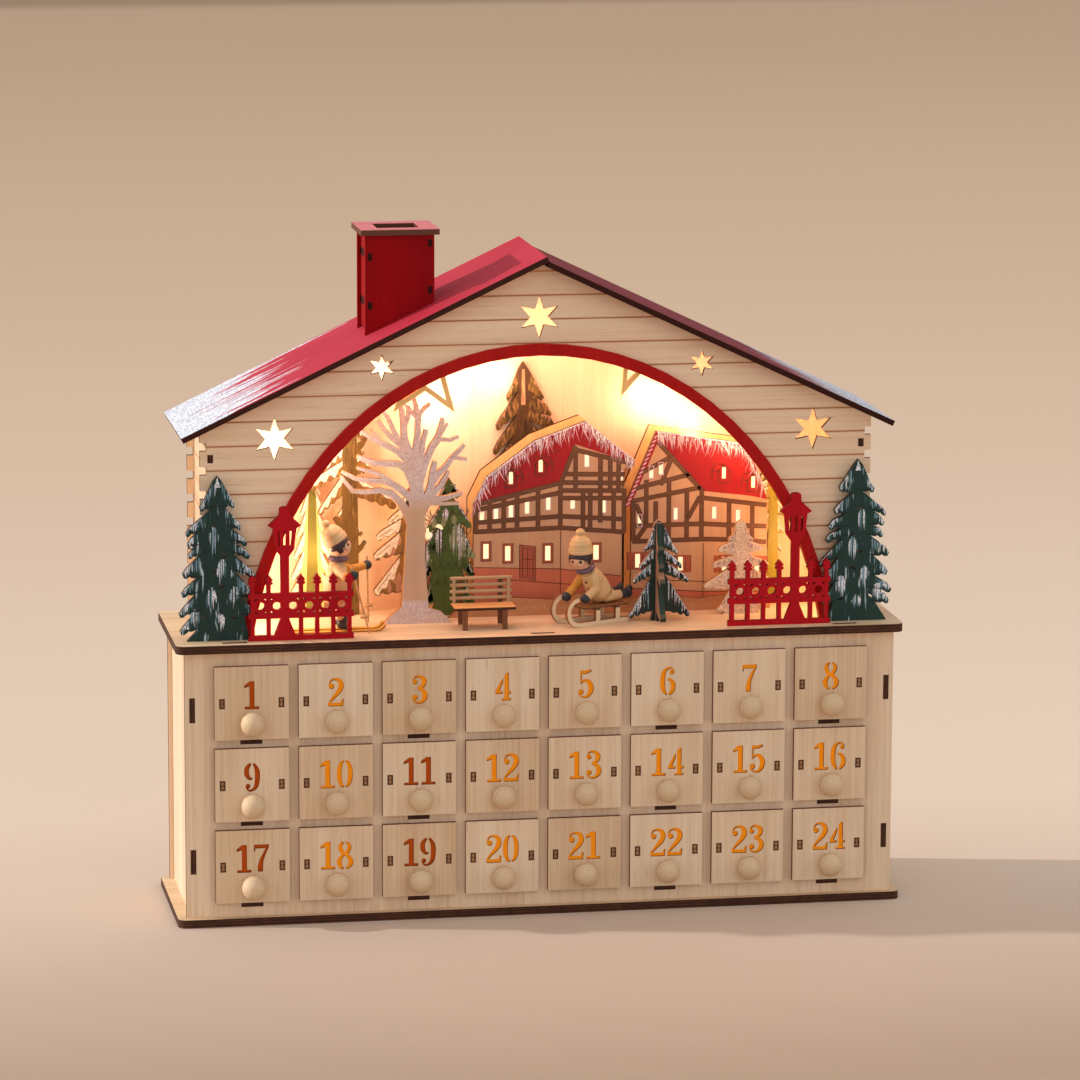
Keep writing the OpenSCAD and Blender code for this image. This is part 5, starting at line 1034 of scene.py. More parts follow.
# The firs, cut as in the CAD: each bough's tip and the root below it, as shares of the half width and height
trees = {
    "spruce": {"x": 1.82, "y": 75.3, "w": 50.0, "h": 135.8, "lobes": 3, "drop": 0.028,
        "right": [(0.44, 0.86, 0.12, 0.88), (0.61, 0.79, 0.07, 0.81), (0.7, 0.74, 0.08, 0.76),
            (0.76, 0.64, 0.1, 0.68), (0.84, 0.54, 0.1, 0.59), (0.92, 0.43, 0.12, 0.49),
            (1.0, 0.3, 0.14, 0.36)],
        "left": [(0.36, 0.86, 0.06, 0.89), (0.6, 0.74, 0.11, 0.79), (0.66, 0.64, 0.14, 0.71),
            (0.74, 0.55, 0.12, 0.61), (0.84, 0.44, 0.12, 0.51), (1.0, 0.31, 0.14, 0.4)]},
    "golden": {"x": -95.21, "y": 64.58, "w": 52.5, "h": 126.3, "lobes": 4, "drop": 0.03,
        "right": [(0.2, 0.85, 0.06, 0.86), (0.25, 0.79, 0.07, 0.79), (0.27, 0.72, 0.07, 0.7),
            (0.4, 0.65, 0.08, 0.61), (0.96, 0.48, 0.09, 0.52), (0.23, 0.37, 0.09, 0.35)],
        "left": [(0.2, 0.87, 0.06, 0.86), (0.34, 0.76, 0.1, 0.76), (0.54, 0.65, 0.12, 0.68),
            (0.81, 0.57, 0.13, 0.62), (0.65, 0.46, 0.13, 0.53), (0.25, 0.44, 0.11, 0.41)]},
    "pale": {"x": -115.06, "y": 71.28, "w": 25.0, "h": 84.2, "lobes": 2, "drop": 0.03,
        "right": [(0.34, 0.8, 0.16, 0.81), (0.52, 0.66, 0.26, 0.68), (0.66, 0.52, 0.32, 0.55),
            (0.8, 0.38, 0.36, 0.42), (0.92, 0.24, 0.4, 0.28), (1.0, 0.12, 0.5, 0.13)]},
    "moss": {"x": 139.63, "y": 64.58, "w": 47.5, "h": 84.2, "lobes": 3, "drop": 0.03,
        "right": [(0.28, 0.8, 0.1, 0.78), (0.4, 0.7, 0.09, 0.68), (0.36, 0.6, 0.09, 0.58),
            (0.27, 0.48, 0.1, 0.46), (0.22, 0.36, 0.1, 0.35)],
        "left": [(0.3, 0.84, 0.1, 0.83), (0.4, 0.76, 0.12, 0.77), (0.64, 0.71, 0.12, 0.68),
            (0.71, 0.6, 0.1, 0.59), (0.54, 0.47, 0.11, 0.47), (0.24, 0.2, 0.1, 0.18)]},
    "bushy": {"x": -42.24, "y": 55.87, "w": 26.0, "h": 76.05, "lobes": 3, "drop": 0.06,
        "right": [(0.38, 0.9, 0.17, 0.86), (0.84, 0.68, 0.5, 0.66), (1.0, 0.46, 0.78, 0.42),
            (1.0, 0.31, 0.55, 0.34), (0.96, 0.12, 0.6, 0.1)],
        "left": [(0.4, 0.87, 0.2, 0.84), (0.85, 0.66, 0.55, 0.64), (1.0, 0.5, 0.8, 0.46),
            (1.0, 0.32, 0.7, 0.33), (0.96, 0.13, 0.6, 0.1)]},
    "broad": {"x": -61.9, "y": 60.49, "w": 42.0, "h": 71.02, "lobes": 3, "drop": 0.05,
        "right": [(0.34, 0.85, 0.16, 0.86), (0.62, 0.74, 0.22, 0.76), (0.93, 0.62, 0.25, 0.66),
            (1.0, 0.47, 0.25, 0.48), (1.0, 0.2, 0.25, 0.18)]},
    "white": {"x": 115.42, "y": 35.77, "w": 41.0, "h": 52.0, "lobes": 3, "drop": 0.035,
        "right": [(0.34, 0.8, 0.12, 0.79), (0.61, 0.7, 0.19, 0.63), (0.77, 0.53, 0.28, 0.5),
            (1.0, 0.31, 0.28, 0.27), (0.64, 0.06, 0.4, 0.03)]},
    "crossed": {"x": 67.54, "y": 24.89, "w": 35.4, "h": 55.3, "lobes": 4, "drop": 0.05,
        "right": [(0.6, 0.69, 0.12, 0.73), (0.74, 0.55, 0.16, 0.6), (0.95, 0.41, 0.2, 0.46),
            (1.0, 0.07, 0.16, 0.1)],
        "left": [(0.44, 0.72, 0.12, 0.74), (0.58, 0.55, 0.16, 0.6), (0.78, 0.41, 0.2, 0.45),
            (0.9, 0.07, 0.16, 0.1)]},
    "pineLeft": {"x": -173.7, "y": 8.0, "w": 42.0, "h": 88.8, "lobes": 2, "drop": 0.028,
        "right": [(0.44, 0.83, 0.18, 0.81), (0.6, 0.69, 0.32, 0.685), (0.75, 0.59, 0.37, 0.6),
            (0.82, 0.51, 0.36, 0.53), (0.96, 0.39, 0.42, 0.42), (0.93, 0.27, 0.6, 0.26),
            (0.98, 0.15, 0.66, 0.15)],
        "left": [(0.46, 0.81, 0.13, 0.805), (0.81, 0.655, 0.49, 0.664), (0.77, 0.593, 0.56, 0.58),
            (0.75, 0.523, 0.455, 0.523), (0.9, 0.41, 0.52, 0.386), (0.93, 0.29, 0.56, 0.29),
            (1.0, 0.166, 0.56, 0.178), (0.98, 0.06, 0.5, 0.075)]},
    "pineRight": {"x": 173.7, "y": 8.0, "w": 42.0, "h": 88.8, "lobes": 2, "drop": 0.028,
        "left": [(0.49, 0.83, 0.19, 0.787), (0.615, 0.688, 0.315, 0.665), (0.757, 0.59, 0.39, 0.58),
            (0.836, 0.506, 0.38, 0.517), (1.0, 0.354, 0.47, 0.407), (0.95, 0.24, 0.6, 0.24),
            (0.9, 0.12, 0.62, 0.12)],
        "right": [(0.44, 0.817, 0.12, 0.8), (0.757, 0.665, 0.44, 0.677), (0.71, 0.61, 0.38, 0.59),
            (0.69, 0.536, 0.35, 0.525), (0.85, 0.42, 0.44, 0.4), (0.82, 0.304, 0.47, 0.278),
            (0.93, 0.19, 0.44, 0.19), (0.87, 0.125, 0.5, 0.11)]},
}


class Bough:  # one bough of a fir: its upper and lower edges, read at any distance out from the trunk
    def __init__(self, tree, side, root, tier):
        half, high = tree["w"] / 2, tree["h"]
        self.x, self.side, self.lobes, self.drop = tree["x"], side, tree["lobes"], tree["drop"] * high
        self.tip, self.low = np.array(tier[:2]) * [half, high], np.array(tier[2:]) * [half, high]
        self.root = np.array(root) * [half, high]
        self.shoulder = self.tip + [-0.1 * half, 0.035 * high]

    def upper(self, out):  # straight from the root to the shoulder, and on to the tip
        return np.interp(out, *zip(self.root, self.shoulder, self.tip))

    def lower(self, out):  # a straight edge from tip to root, less the fall of its lobes
        share = np.clip((self.tip[0] - out) / (self.tip[0] - self.low[0]), 0, 1)
        fall = np.interp(share * self.lobes % 1, [0, 0.2, 0.55, 1], [0.25, 0.85, 1.0, 0.25])
        edge = self.tip[1] + (self.low[1] - self.tip[1]) * share
        return edge - self.drop * fall * (1 - share) * (share > 0.01)

    def out(self, share):  # distance from the trunk: 0 at the root, 1 at the tip
        return self.root[0] + (self.tip[0] - self.root[0]) * share

    def spots(self, out, z):  # X is the trunk plus or less the distance out
        return np.stack([self.x + self.side * np.asarray(out), np.asarray(z)], 1)


def boughs(name):  # each tier's bough starts at the low root of the tier above
    tree = trees[name]
    rows = []
    for side in (-1, 1):
        tiers = tree["right"] if side > 0 or "left" not in tree else tree["left"]
        roots = [(0.11, 0.97)] + [tier[2:] for tier in tiers]
        rows += [Bough(tree, side, root, tier) for root, tier in zip(roots, tiers)]
    return rows


# Snow on a bough: it follows the upper edge, and its lower edge hangs in soft drips
def snowCap(heap, bough, deep, near, far, paint, rng, start=0.0, end=0.97, ragged=0.45, line=None):
    out = bough.out(np.linspace(start, end, 21))
    upper = bough.upper(out) - 0.12
    share = np.linspace(0, 1, 21)
    wave = 1 - ragged * (0.5 + 0.5 * np.sin(share * 21 + rng.uniform(0, 6))) - 0.25 * ragged * rng.random(21)
    body = np.interp(share, [0, 0.15, 0.8, 1], [0.35, 1.0, 0.8, 0.3])
    lower = np.maximum(upper - deep * wave * body, bough.lower(out) + 0.25)
    under = bough.spots(out, np.minimum(lower, upper - 0.15))[::-1]
    slab(heap, np.concatenate([bough.spots(out, upper), under]), near, far, paint)
    if line is not None:
        strip(heap, bough.spots(out[1:-1], lower[1:-1]), 0.34, near + 0.03, far, line)


leafShape = np.array([(0.0, 1.0), (-0.7, 0.74), (-1.0, 0.42), (-0.82, 0.15), (-0.3, 0.0), (0.3, 0.0),
    (0.82, 0.15), (1.0, 0.42), (0.7, 0.74)])


# A hanging tuft: dark round its edge, lighter inside
def leaf(heap, x, z, half, long, near, far, fill, line=None):
    if line is not None:
        slab(heap, leafShape * [half + 0.22, long + 0.2] + [x, z - 0.22], near + 0.03, far, line)
    slab(heap, leafShape * [half, long] + [x, z], near, far, fill)


# Tufts under a bough in rows: the lowest just inside the cut edge
def tufts(heap, bough, count, long, half, near, far, fills, line, rng, start=0.06, end=0.96,
          rows=(0.0, 0.55)):
    for level, lift in enumerate(rows):
        for share in np.linspace(start, end, count) + level * 0.5 / count:
            out = bough.out(min(share, 0.98))
            low, high = bough.lower(out) + 0.3 + lift * long, bough.upper(out) - 0.3
            size = min(long * rng.uniform(0.75, 1.0), high - low)
            if size > 0.8:
                x, z = bough.spots([out], [low])[0]
                leaf(heap, x, z, half * rng.uniform(0.8, 1.05), size, near + 0.012 * level, far,
                     fills[rng.integers(len(fills))], line)


# Hanging strokes between a bough's edges, as brushed snow or dark needles
def brushStrokes(heap, bough, count, near, far, paints, rng, start=0.25, end=0.98, top=0.2, half=0.32,
        reach=(0.35, 1.0)):
    for share in np.sort(rng.uniform(start, end, count)):
        out = bough.out(share)
        high = bough.upper(out) - top
        long = (high - bough.lower(out) - 0.25) * rng.uniform(*reach)
        if long > 0.6:
            x, z = bough.spots([out], [high])[0]
            w = half * rng.uniform(0.6, 1.3)
            blade = [(x - w, z), (x + w, z), (x + w * 0.9, z - long * 0.6), (x + w * 0.2, z - long),
                     (x - w * 0.8, z - long * 0.7)]
            slab(heap, blade, near - 0.02 * rng.random(), far, paints[rng.integers(len(paints))])


# A patch of hanging strokes, longest in the middle
def brushed(heap, x0, z0, x1, z1, count, near, far, paints, rng, half=0.3):
    for x in np.linspace(x0, x1, count) + rng.normal(0, 0.12, count):
        middle = 1 - abs(2 * (x - x0) / (x1 - x0) - 1) ** 2 * 0.6
        top = z1 - (1 - middle) * (z1 - z0) * 0.4 - rng.uniform(0, 0.12) * (z1 - z0)
        end = top - (z1 - z0) * middle * rng.uniform(0.5, 1.0)
        w = half * rng.uniform(0.6, 1.3)
        waist = (top + end) / 2
        blade = [(x - w * 0.4, top), (x + w, top - 0.2), (x + w * 0.8, waist), (x, end), (x - w, waist)]
        slab(heap, blade, near - 0.02 * rng.random(), far, paints[rng.integers(len(paints))])


# A tapering trunk with upright cracks
def bark(heap, x, base, top, z0, z1, near, far, ground, lines, count, rng):
    slab(heap, [(x - base / 2, z0), (x + base / 2, z0), (x + top / 2, z1), (x - top / 2, z1)], near,
         far, ground)
    for i in range(count):
        z = rng.uniform(z0, z1 - 4)
        wide = base + (top - base) * (z - z0) / (z1 - z0)
        u = x + wide * rng.uniform(-0.42, 0.42)
        long = rng.uniform(3, 9)
        crack = [(u, z), (u + rng.normal(0, 0.25), z + long / 2), (u + rng.normal(0, 0.3), min(z + long, z1))]
        strip(heap, crack, rng.uniform(0.2, 0.42), near - 0.03, far, lines[i % len(lines)])


def stub(heap, x, z, side, size, near, far, ground, line):  # the stump of a broken branch
    shape = np.array([(0, -0.5), (0.55, 0.1), (0.95, 0.85), (0.6, 1.1), (0.25, 0.6), (0, 0.5)])
    outline = shape * [side * size, size] + [x, z]
    slab(heap, outline, near, far, ground)
    strip(heap, outline[2:4], 0.4, near - 0.02, far, line)


treeFinishes = {
    "snow": painted("boughSnow", (244, 226, 196), (228, 204, 168), None,
        extra=lambda f, c: glitter(f, c, tone(252, 242, 222), tone(220, 196, 168), 1800.0)),
    "snowCool": painted("boughSnowCool", (206, 198, 206), (178, 170, 182), None,
        extra=lambda f, c: glitter(f, c, tone(236, 232, 240), tone(140, 132, 142), 1600.0)),
    "bark": painted("barkBrown", (118, 86, 32), (92, 64, 20), None),
    "barkDark": painted("barkDark", (78, 52, 18), (60, 38, 12), None),
    "barkLight": painted("barkLight", (160, 124, 60), (138, 102, 42), None),
    "tuft": painted("tuftBrown", (150, 108, 58), (118, 80, 36), None),
    "tuftRose": painted("tuftRose", (196, 140, 108), (170, 114, 80), None),
    "tuftDark": painted("tuftDark", (86, 50, 22), (66, 36, 14), None),
    "moss": painted("mossTrunk", (160, 144, 30), (136, 118, 16), None),
    "mossPale": painted("mossPale", (122, 116, 44), (102, 96, 30), None),
    # Painted lamp light: a pale golden tone for the top of the spruce's trunk
    "glowWood": painted("spruceTopLit", (232, 176, 122), (208, 146, 92), None),
    "mossGrey": painted("mossGrey", (150, 152, 112), (124, 126, 86), None),
    "green": painted("tuftGreen", (84, 104, 48), (62, 84, 36), None),
    "greenDark": painted("tuftGreenDark", (58, 54, 24), (44, 40, 16), None),
    "shine": glowing("lightThrough", (255, 236, 188), 0.5),
    "whiteFir": painted("whiteFir", (222, 202, 176), (200, 176, 146), (196, 136, 80),
        extra=lambda f, c: glitter(f, c, tone(236, 222, 202), tone(196, 176, 150), 1900.0)),
    "crossed": painted("crossedFir", (20, 50, 40), (12, 34, 30), (176, 132, 104)),
    "bank": painted("bankWood", (196, 140, 98), (176, 120, 80), (120, 70, 34), grainAxis="X",
        extra=lambda f, c: f.blend(f.spread(f.grain(900.0, 900.0, 900.0), 0.62, 0.7, 0.0, 0.6), c,
            tone(234, 210, 196))),
}
treePaint = [treeFinishes[key] for key in ("snow", "snowCool", "bark", "barkDark", "barkLight", "tuft",
    "tuftRose", "tuftDark", "moss", "mossPale", "mossGrey", "green", "greenDark", "shine", "glowWood")]
(snow, snowCool, barkBrown, barkDark, barkLight, tuftBrown, tuftRose, tuftDark, moss, mossPale, mossGrey,
 green, greenDark, shine, glowWood) = range(15)


# Told apart by place: the moss tree past 100 mm in X, the pale one past 29 mm in Y, the bushy one before 19.5
def forestBoard():
    finish = Finish("forestBoard", 0.55)
    fine, broad, _ = woodGrain(finish, "Z")
    grain = finish.spread(finish.plus(finish.times(fine, 0.5), finish.times(broad, 0.6)), 0.4, 0.8)
    colour = finish.blend(grain, tone(150, 108, 52), tone(122, 84, 34))
    for axis, low, light, deep in (("x", 0.1, tone(186, 160, 70), tone(158, 130, 46)),
            ("y", 0.029, tone(232, 204, 128), tone(208, 172, 88))):
        share = finish.spread(getattr(finish, axis), low - 0.0001, low)
        colour = finish.blend(share, colour, finish.blend(grain, light, deep))
    near = finish.spread(finish.y, 0.0195, 0.0194)
    colour = finish.blend(near, colour, finish.blend(grain, tone(80, 98, 44), tone(58, 76, 32)))
    finish.colour(finish.blend(finish.facing(axes["Y"]), tone(122, 74, 28), colour))
    finish.bump(fine, 0.0001, 0.4)
    return finish.material


dress("tall_spruce", treeFinishes["tuftDark"])
dress("forest_trees", forestBoard())
dress("white_fir", treeFinishes["whiteFir"])
dress("crossed_fir", treeFinishes["crossed"])
dress("snow_bank", treeFinishes["bank"])


# The tree's row, and the depths of its paint before and behind its face
def treeFace(name, proud=0.08, sunk=0.2):
    tree = trees[name]
    return tree, tree["y"] - proud, tree["y"] + sunk


# A trunk with straight sides, from just over the stage
def pole(heap, x, base, top, height, near, far, paint):
    slab(heap, [(x - base, 0.3), (x + base, 0.3), (x + top, height), (x - top, height)], near, far, paint)


# The trees of the wood, one function each: tufts and strokes on every bough, snow, then the trunk
def paintSpruce(heap, rng):  # dark tufts on drooping boughs
    t, near, far = treeFace("spruce")
    for bough in boughs("spruce"):
        tufts(heap, bough, 9, 4.4, 0.62, near, far, [barkBrown, barkDark, tuftBrown, barkBrown],
              tuftDark, rng, rows=(0.0, 0.5, 1.0, 1.5))
        brushStrokes(heap, bough, 12, near - 0.04, far, [tuftBrown, barkDark, tuftRose], rng, 0.35, 0.98, 0.5,
                     0.3, (0.2, 0.6))
        snowCap(heap, bough, 0.8, near - 0.08, far, tuftRose, rng, 0.55)
    bark(heap, t["x"], 8.0, 3.2, 0.3, 120, near - 0.04, far, barkDark, [barkBrown, tuftDark], 60, rng)
    # The top of the trunk, rose with pale golden cracks, is lighter as painted lamp light
    bark(heap, t["x"], 2.4, 1.4, 112, 131.5, near - 0.08, far, tuftRose, [tuftBrown, glowWood], 9, rng)


def paintGolden(heap, rng):  # tufts and bare snow, longest on the wide low boughs
    t, near, far = treeFace("golden")
    for bough in boughs("golden"):
        wide = bough.tip[0] > 12
        tufts(heap, bough, 9 if wide else 3, 7.4 if wide else 4.4, 0.95, near, far, [tuftBrown, barkLight],
              tuftDark, rng, rows=(0.0, 0.5))
        snowCap(heap, bough, 7.0 if wide and bough.side < 0 else 3.2, near - 0.05, far, snow, rng, 0.02,
                line=tuftDark)
    bark(heap, t["x"], 10.0, 7.2, 0.3, 122, near - 0.09, far, barkBrown, [barkDark, barkLight, barkDark], 90,
         rng)
    for x, z, side, size in ((4.2, 36.0, 1, 5.0), (-4.4, 49.0, -1, 5.4), (4.0, 92.0, 1, 6.0),
            (4.2, 101.0, 1, 5.0)):
        stub(heap, t["x"] + x, z, side, size, near - 0.07, far, barkBrown, tuftDark)


def paintPale(heap, rng):  # snow alone over pale wood
    t, near, far = treeFace("pale")
    for bough in boughs("pale"):
        snowCap(heap, bough, 9.0, near, far, snow, rng, 0.0, 1.0, 0.3, barkLight)
    pole(heap, t["x"], 3.6, 1.7, 76, near - 0.06, far, mossPale)


def paintMoss(heap, rng):  # grey strokes under snow, and a dark line along each bough's foot
    t, near, far = treeFace("moss")
    for bough in boughs("moss"):
        brushStrokes(heap, bough, 16, near, far, [mossGrey, snow, mossGrey], rng, 0.05, 0.98, 0.8, 0.42)
        snowCap(heap, bough, 2.8, near - 0.05, far, snow, rng, 0.0, line=tuftDark)
        end = bough.tip[0] * 0.7
        out = np.linspace(bough.low[0] - 2, end, 5)
        foot = np.linspace(bough.low[1] + 1.5, bough.lower(end) + 0.2, 5)
        strip(heap, bough.spots(out, foot), 0.4, near - 0.06, far, tuftDark)
    slab(heap, [(t["x"] - 3.6, 0.3), (t["x"] + 3.6, 0.3), (t["x"] + 2.0, 80), (t["x"] - 1.2, 80)],
         near - 0.09, far, moss)


def paintBushy(heap, rng):  # green tufts, rows of waves, brushed snow and a few lit patches
    t, near, far = treeFace("bushy", 0.06)
    for bough in boughs("bushy"):
        tufts(heap, bough, 4, 7.5, 1.7, near, far, [green, green, mossGrey], greenDark, rng, rows=(0.0, 0.8))
        snowCap(heap, bough, 1.6, near - 0.05, far, snowCool, rng, 0.3)
    for row, z in enumerate((57, 47, 37.5, 28, 19)):
        for column in range(5):
            x = t["x"] - 8.4 + column * 4.2 + (row % 2) * 1.7
            wave = [(x - 2.0, z + 1.6), (x - 1.5, z - 1.4), (x, z - 2.4), (x + 1.5, z - 1.2),
                    (x + 2.1, z + 1.8)]
            strip(heap, wave, 0.42, near - 0.05, far, greenDark)
    for x0, z0, x1, z1 in ((-59.0, 20.0, -53.4, 41.5), (-49.6, 32.0, -45.8, 50.5),
            (-45.6, 51.0, -42.8, 60.0)):
        brushed(heap, x0, z0, x1, z1, 13, near - 0.09, far, [snowCool, snowCool, greenDark], rng, 0.32)
    brushed(heap, -41.8, 24.0, -33.2, 52.0, 13, near - 0.06, far, [mossGrey, snowCool, mossGrey], rng, 0.42)
    for outline in ([(-61.0, 50.6), (-60.6, 53.4), (-55.0, 57.4), (-54.6, 56.2), (-59.0, 52.6)],
            [(-55.2, 44.0), (-54.6, 48.6), (-53.6, 49.0), (-53.2, 46.6), (-51.4, 45.6), (-52.0, 43.6),
             (-54.0, 42.0)],
            [(-49.8, 49.2), (-48.6, 50.8), (-46.8, 50.4), (-45.4, 48.2), (-46.6, 47.6), (-48.0, 48.6)]):
        slab(heap, outline, near - 0.12, far, shine)


def paintBroad(heap, rng):  # rose tufts near the trunk, deep snow and a pale line
    t, near, far = treeFace("broad")
    pole(heap, t["x"], 5.0, 2.0, 60, near + 0.02, far, barkDark)
    for bough in boughs("broad"):
        tufts(heap, bough, 5, 6.5, 1.5, near, far, [tuftRose, tuftBrown], tuftDark, rng, 0.02, 0.6,
              rows=(0.0, 0.7))
        snowCap(heap, bough, 8.5, near - 0.05, far, snow, rng, 0.1, 0.99, 0.35)
        out = np.linspace(bough.tip[0] * 0.55, bough.tip[0] * 0.9, 4)
        strip(heap, bough.spots(out, bough.upper(out) - 2.4), 0.4, near - 0.08, far, barkLight)


def paintWhite(heap, rng):  # strokes of snow on every bough
    t, near, far = treeFace("white", 0.07)
    for bough in boughs("white"):
        brushStrokes(heap, bough, 10, near, far, [snowCool, snow, tuftRose], rng, 0.1, 0.96, 0.7,
                     0.3, (0.3, 0.9))
        snowCap(heap, bough, 1.1, near - 0.05, far, snow, rng, 0.1, 0.98)


def forestPaint():  # each tree has a seed of its own, so a change to one leaves the others
    heap = Heap()
    for seed, paintTree in enumerate((paintSpruce, paintGolden, paintPale, paintMoss, paintBushy, paintBroad,
            paintWhite)):
        paintTree(heap, np.random.default_rng(40 + seed))
    heap.piece("forest_paint", treePaint, slot="moss_board")


forestPaint()
print("forest painted")


# The dark pines at the corners and the crossed fir: brushed snow on the boughs, burnt lines under them
pineFinishes = [painted("pineSnow", (226, 232, 238), (196, 208, 220), None, extra=glitter),
    painted("pineIce", (146, 178, 196), (116, 150, 170), None),
    painted("pineNight", (12, 26, 28), (8, 18, 20), None),
    painted("pineGreen", (52, 92, 88), (36, 74, 72), None)]
pineSnow, pineIce, pineNight, pineGreen = range(4)
pineSet = {"left": [(-0.09, 0.71, 0.05, 0.2), (0.1, 0.5, 0.06, 0.17), (-0.18, 0.33, 0.07, 0.17),
                    (0.42, 0.34, 0.06, 0.16), (-0.6, 0.2, 0.05, 0.13), (0.05, 0.17, 0.06, 0.12)],
           "right": [(0.12, 0.71, 0.05, 0.2), (-0.12, 0.53, 0.05, 0.17), (-0.42, 0.3, 0.06, 0.17),
                     (0.2, 0.35, 0.06, 0.17), (0.55, 0.24, 0.06, 0.15), (0.0, 0.17, 0.05, 0.12)]}


# A pine: pale strokes near the tips, dark ones at the root, a burnt line under each bough, then patches
def paintPine(heap, name, patches, rng):
    t, near, far = treeFace(name, 0.07)
    for bough in boughs(name):
        brushStrokes(heap, bough, 14, near, far, [pineIce, pineSnow, pineSnow, pineGreen], rng, 0.42, 0.97,
                     0.35, 0.3, (0.4, 0.95))
        brushStrokes(heap, bough, 8, near, far, [pineGreen, pineIce], rng, 0.05, 0.5, 0.9, 0.24, (0.3, 0.8))
        snowCap(heap, bough, 0.8, near - 0.05, far, pineSnow, rng, 0.45, 0.99, 0.6)
        out = np.linspace(bough.low[0] - 0.14 * t["w"] / 2, bough.tip[0], 9)
        share = np.linspace(0, 1, 9)
        inward = np.clip((bough.tip[0] - out) / (bough.tip[0] - bough.low[0]), 0, 1.2)
        line = bough.tip[1] + (bough.low[1] - bough.tip[1]) * inward
        strip(heap, bough.spots(out[:-2], line[:-2] + 1.1 * (1 - share[:-2]) ** 2 + 0.25), 0.5, near - 0.04,
              far, pineNight)
    for u, v, wide, high in patches:
        x, z = t["x"] + u * t["w"] / 2, v * t["h"]
        brushed(heap, x - wide * t["w"] / 2 - 1.2, z - high * t["h"], x + wide * t["w"] / 2 + 1.2, z,
                12, near, far, [pineSnow, pineIce, pineSnow, pineGreen], rng, 0.34)
    slab(heap, [(t["x"] - 1.6, t["h"] * 0.93), (t["x"] + 1.6, t["h"] * 0.93), (t["x"], t["h"] * 0.993)], near,
         far, pineSnow)


def pinesPaint():  # both pines, then the crossed fir with more strokes
    heap = Heap()
    paintPine(heap, "pineLeft", pineSet["left"], np.random.default_rng(61))
    paintPine(heap, "pineRight", pineSet["right"], np.random.default_rng(62))
    t, near, far = treeFace("crossed", 0.07)
    rng = np.random.default_rng(63)
    for bough in boughs("crossed"):
        brushStrokes(heap, bough, 26, near, far, [pineSnow, pineIce, pineSnow, pineNight], rng, 0.12, 0.97,
                     0.5, 0.34, (0.4, 0.95))
        brushStrokes(heap, bough, 10, near - 0.02, far, [pineNight], rng, 0.1, 0.9, 2.2, 0.2, (0.3, 0.7))
        snowCap(heap, bough, 0.9, near - 0.04, far, pineSnow, rng, 0.3, 0.99, 0.5)
    heap.piece("pine_paint", pineFinishes, slot="frosted_board")


pinesPaint()
print("pines painted")


# Turned and painted figures
figureFinishes = {
    "cream": turnedWood("figureCream", (222, 182, 132), (198, 154, 102), 0.0009),
    "ochre": painted("figureOchre", (206, 142, 50), (182, 116, 34), None),
    "skin": painted("figureSkin", (232, 188, 150), (222, 172, 132), None, roughness=0.4),
    "blush": painted("figureBlush", (226, 146, 134), (220, 136, 124), None, roughness=0.45),
    "hair": painted("figureHair", (62, 40, 44), (44, 28, 34), None, roughness=0.35),
    "scarf": painted("figureScarf", (112, 84, 98), (86, 62, 76), None),
    "glove": painted("figureGlove", (48, 50, 58), (34, 36, 44), None, roughness=0.3),
    "button": painted("figureButton", (96, 30, 26), (76, 22, 20), None, roughness=0.4),
    "ski": painted("skiYellow", (222, 166, 58), (200, 140, 40), (170, 112, 34), thin="Z", grainAxis="X"),
    "pole": painted("poleWood", (204, 156, 104), (178, 128, 78), None),
    "runner": painted("runnerCream", (236, 212, 176), (218, 190, 152), (146, 86, 44), grainAxis="X"),
    "deck": plywood("sledgeDeck", "Z", "X", face=tone(182, 128, 82), shade=tone(140, 88, 50)),
    "plank": painted("sledgePlank", (112, 70, 42), (82, 48, 26), None, grainAxis="X"),
}
cream, ochre, skin, blush, hair, scarf, glove, button, ski, poleWood = range(10)
figurePaint = [figureFinishes[key] for key in ("cream", "ochre", "skin", "blush", "hair", "scarf", "glove",
    "button", "ski", "pole")]
figureSet = {"headR": 6.3, "pomR": 2.55}


# The way out of a head's centre, by degrees sideways and upwards
def onHead(faceWay, sideWay, up, turn, lift):
    a, b = math.radians(turn), math.radians(lift)
    return (faceWay * math.cos(a) + sideWay * math.sin(a)) * math.cos(b) + up * math.sin(b)


# A curved patch on a ball, even in thickness over a range of turns and lifts: a function gives its low edge
def patch(heap, centre, frameWays, radius, thick, turns, lifts, paint, lowEdge=None, across=30, steps=6):
    faceWay, sideWay, up = frameWays
    rows = []
    for turn in np.linspace(*turns, across):
        low = lifts[0] if lowEdge is None else lowEdge(turn)
        column = [onHead(faceWay, sideWay, up, turn, lift) for lift in np.linspace(low, lifts[1], steps)]
        rows.append([centre + way * radius for way in column]
                    + [centre + way * (radius - thick) for way in column[::-1]])
    grid = np.array(rows)
    across, ring = grid.shape[:2]
    index = np.arange(across * ring).reshape(across, ring)
    a, b = index[:-1], index[1:]
    quads = np.stack([a, b, np.roll(b, -1, 1), np.roll(a, -1, 1)], -1).reshape(-1, 4)
    heap.add(grid.reshape(-1, 3), quads.tolist() + [tuple(index[0]), tuple(index[-1][::-1])], paint, True)


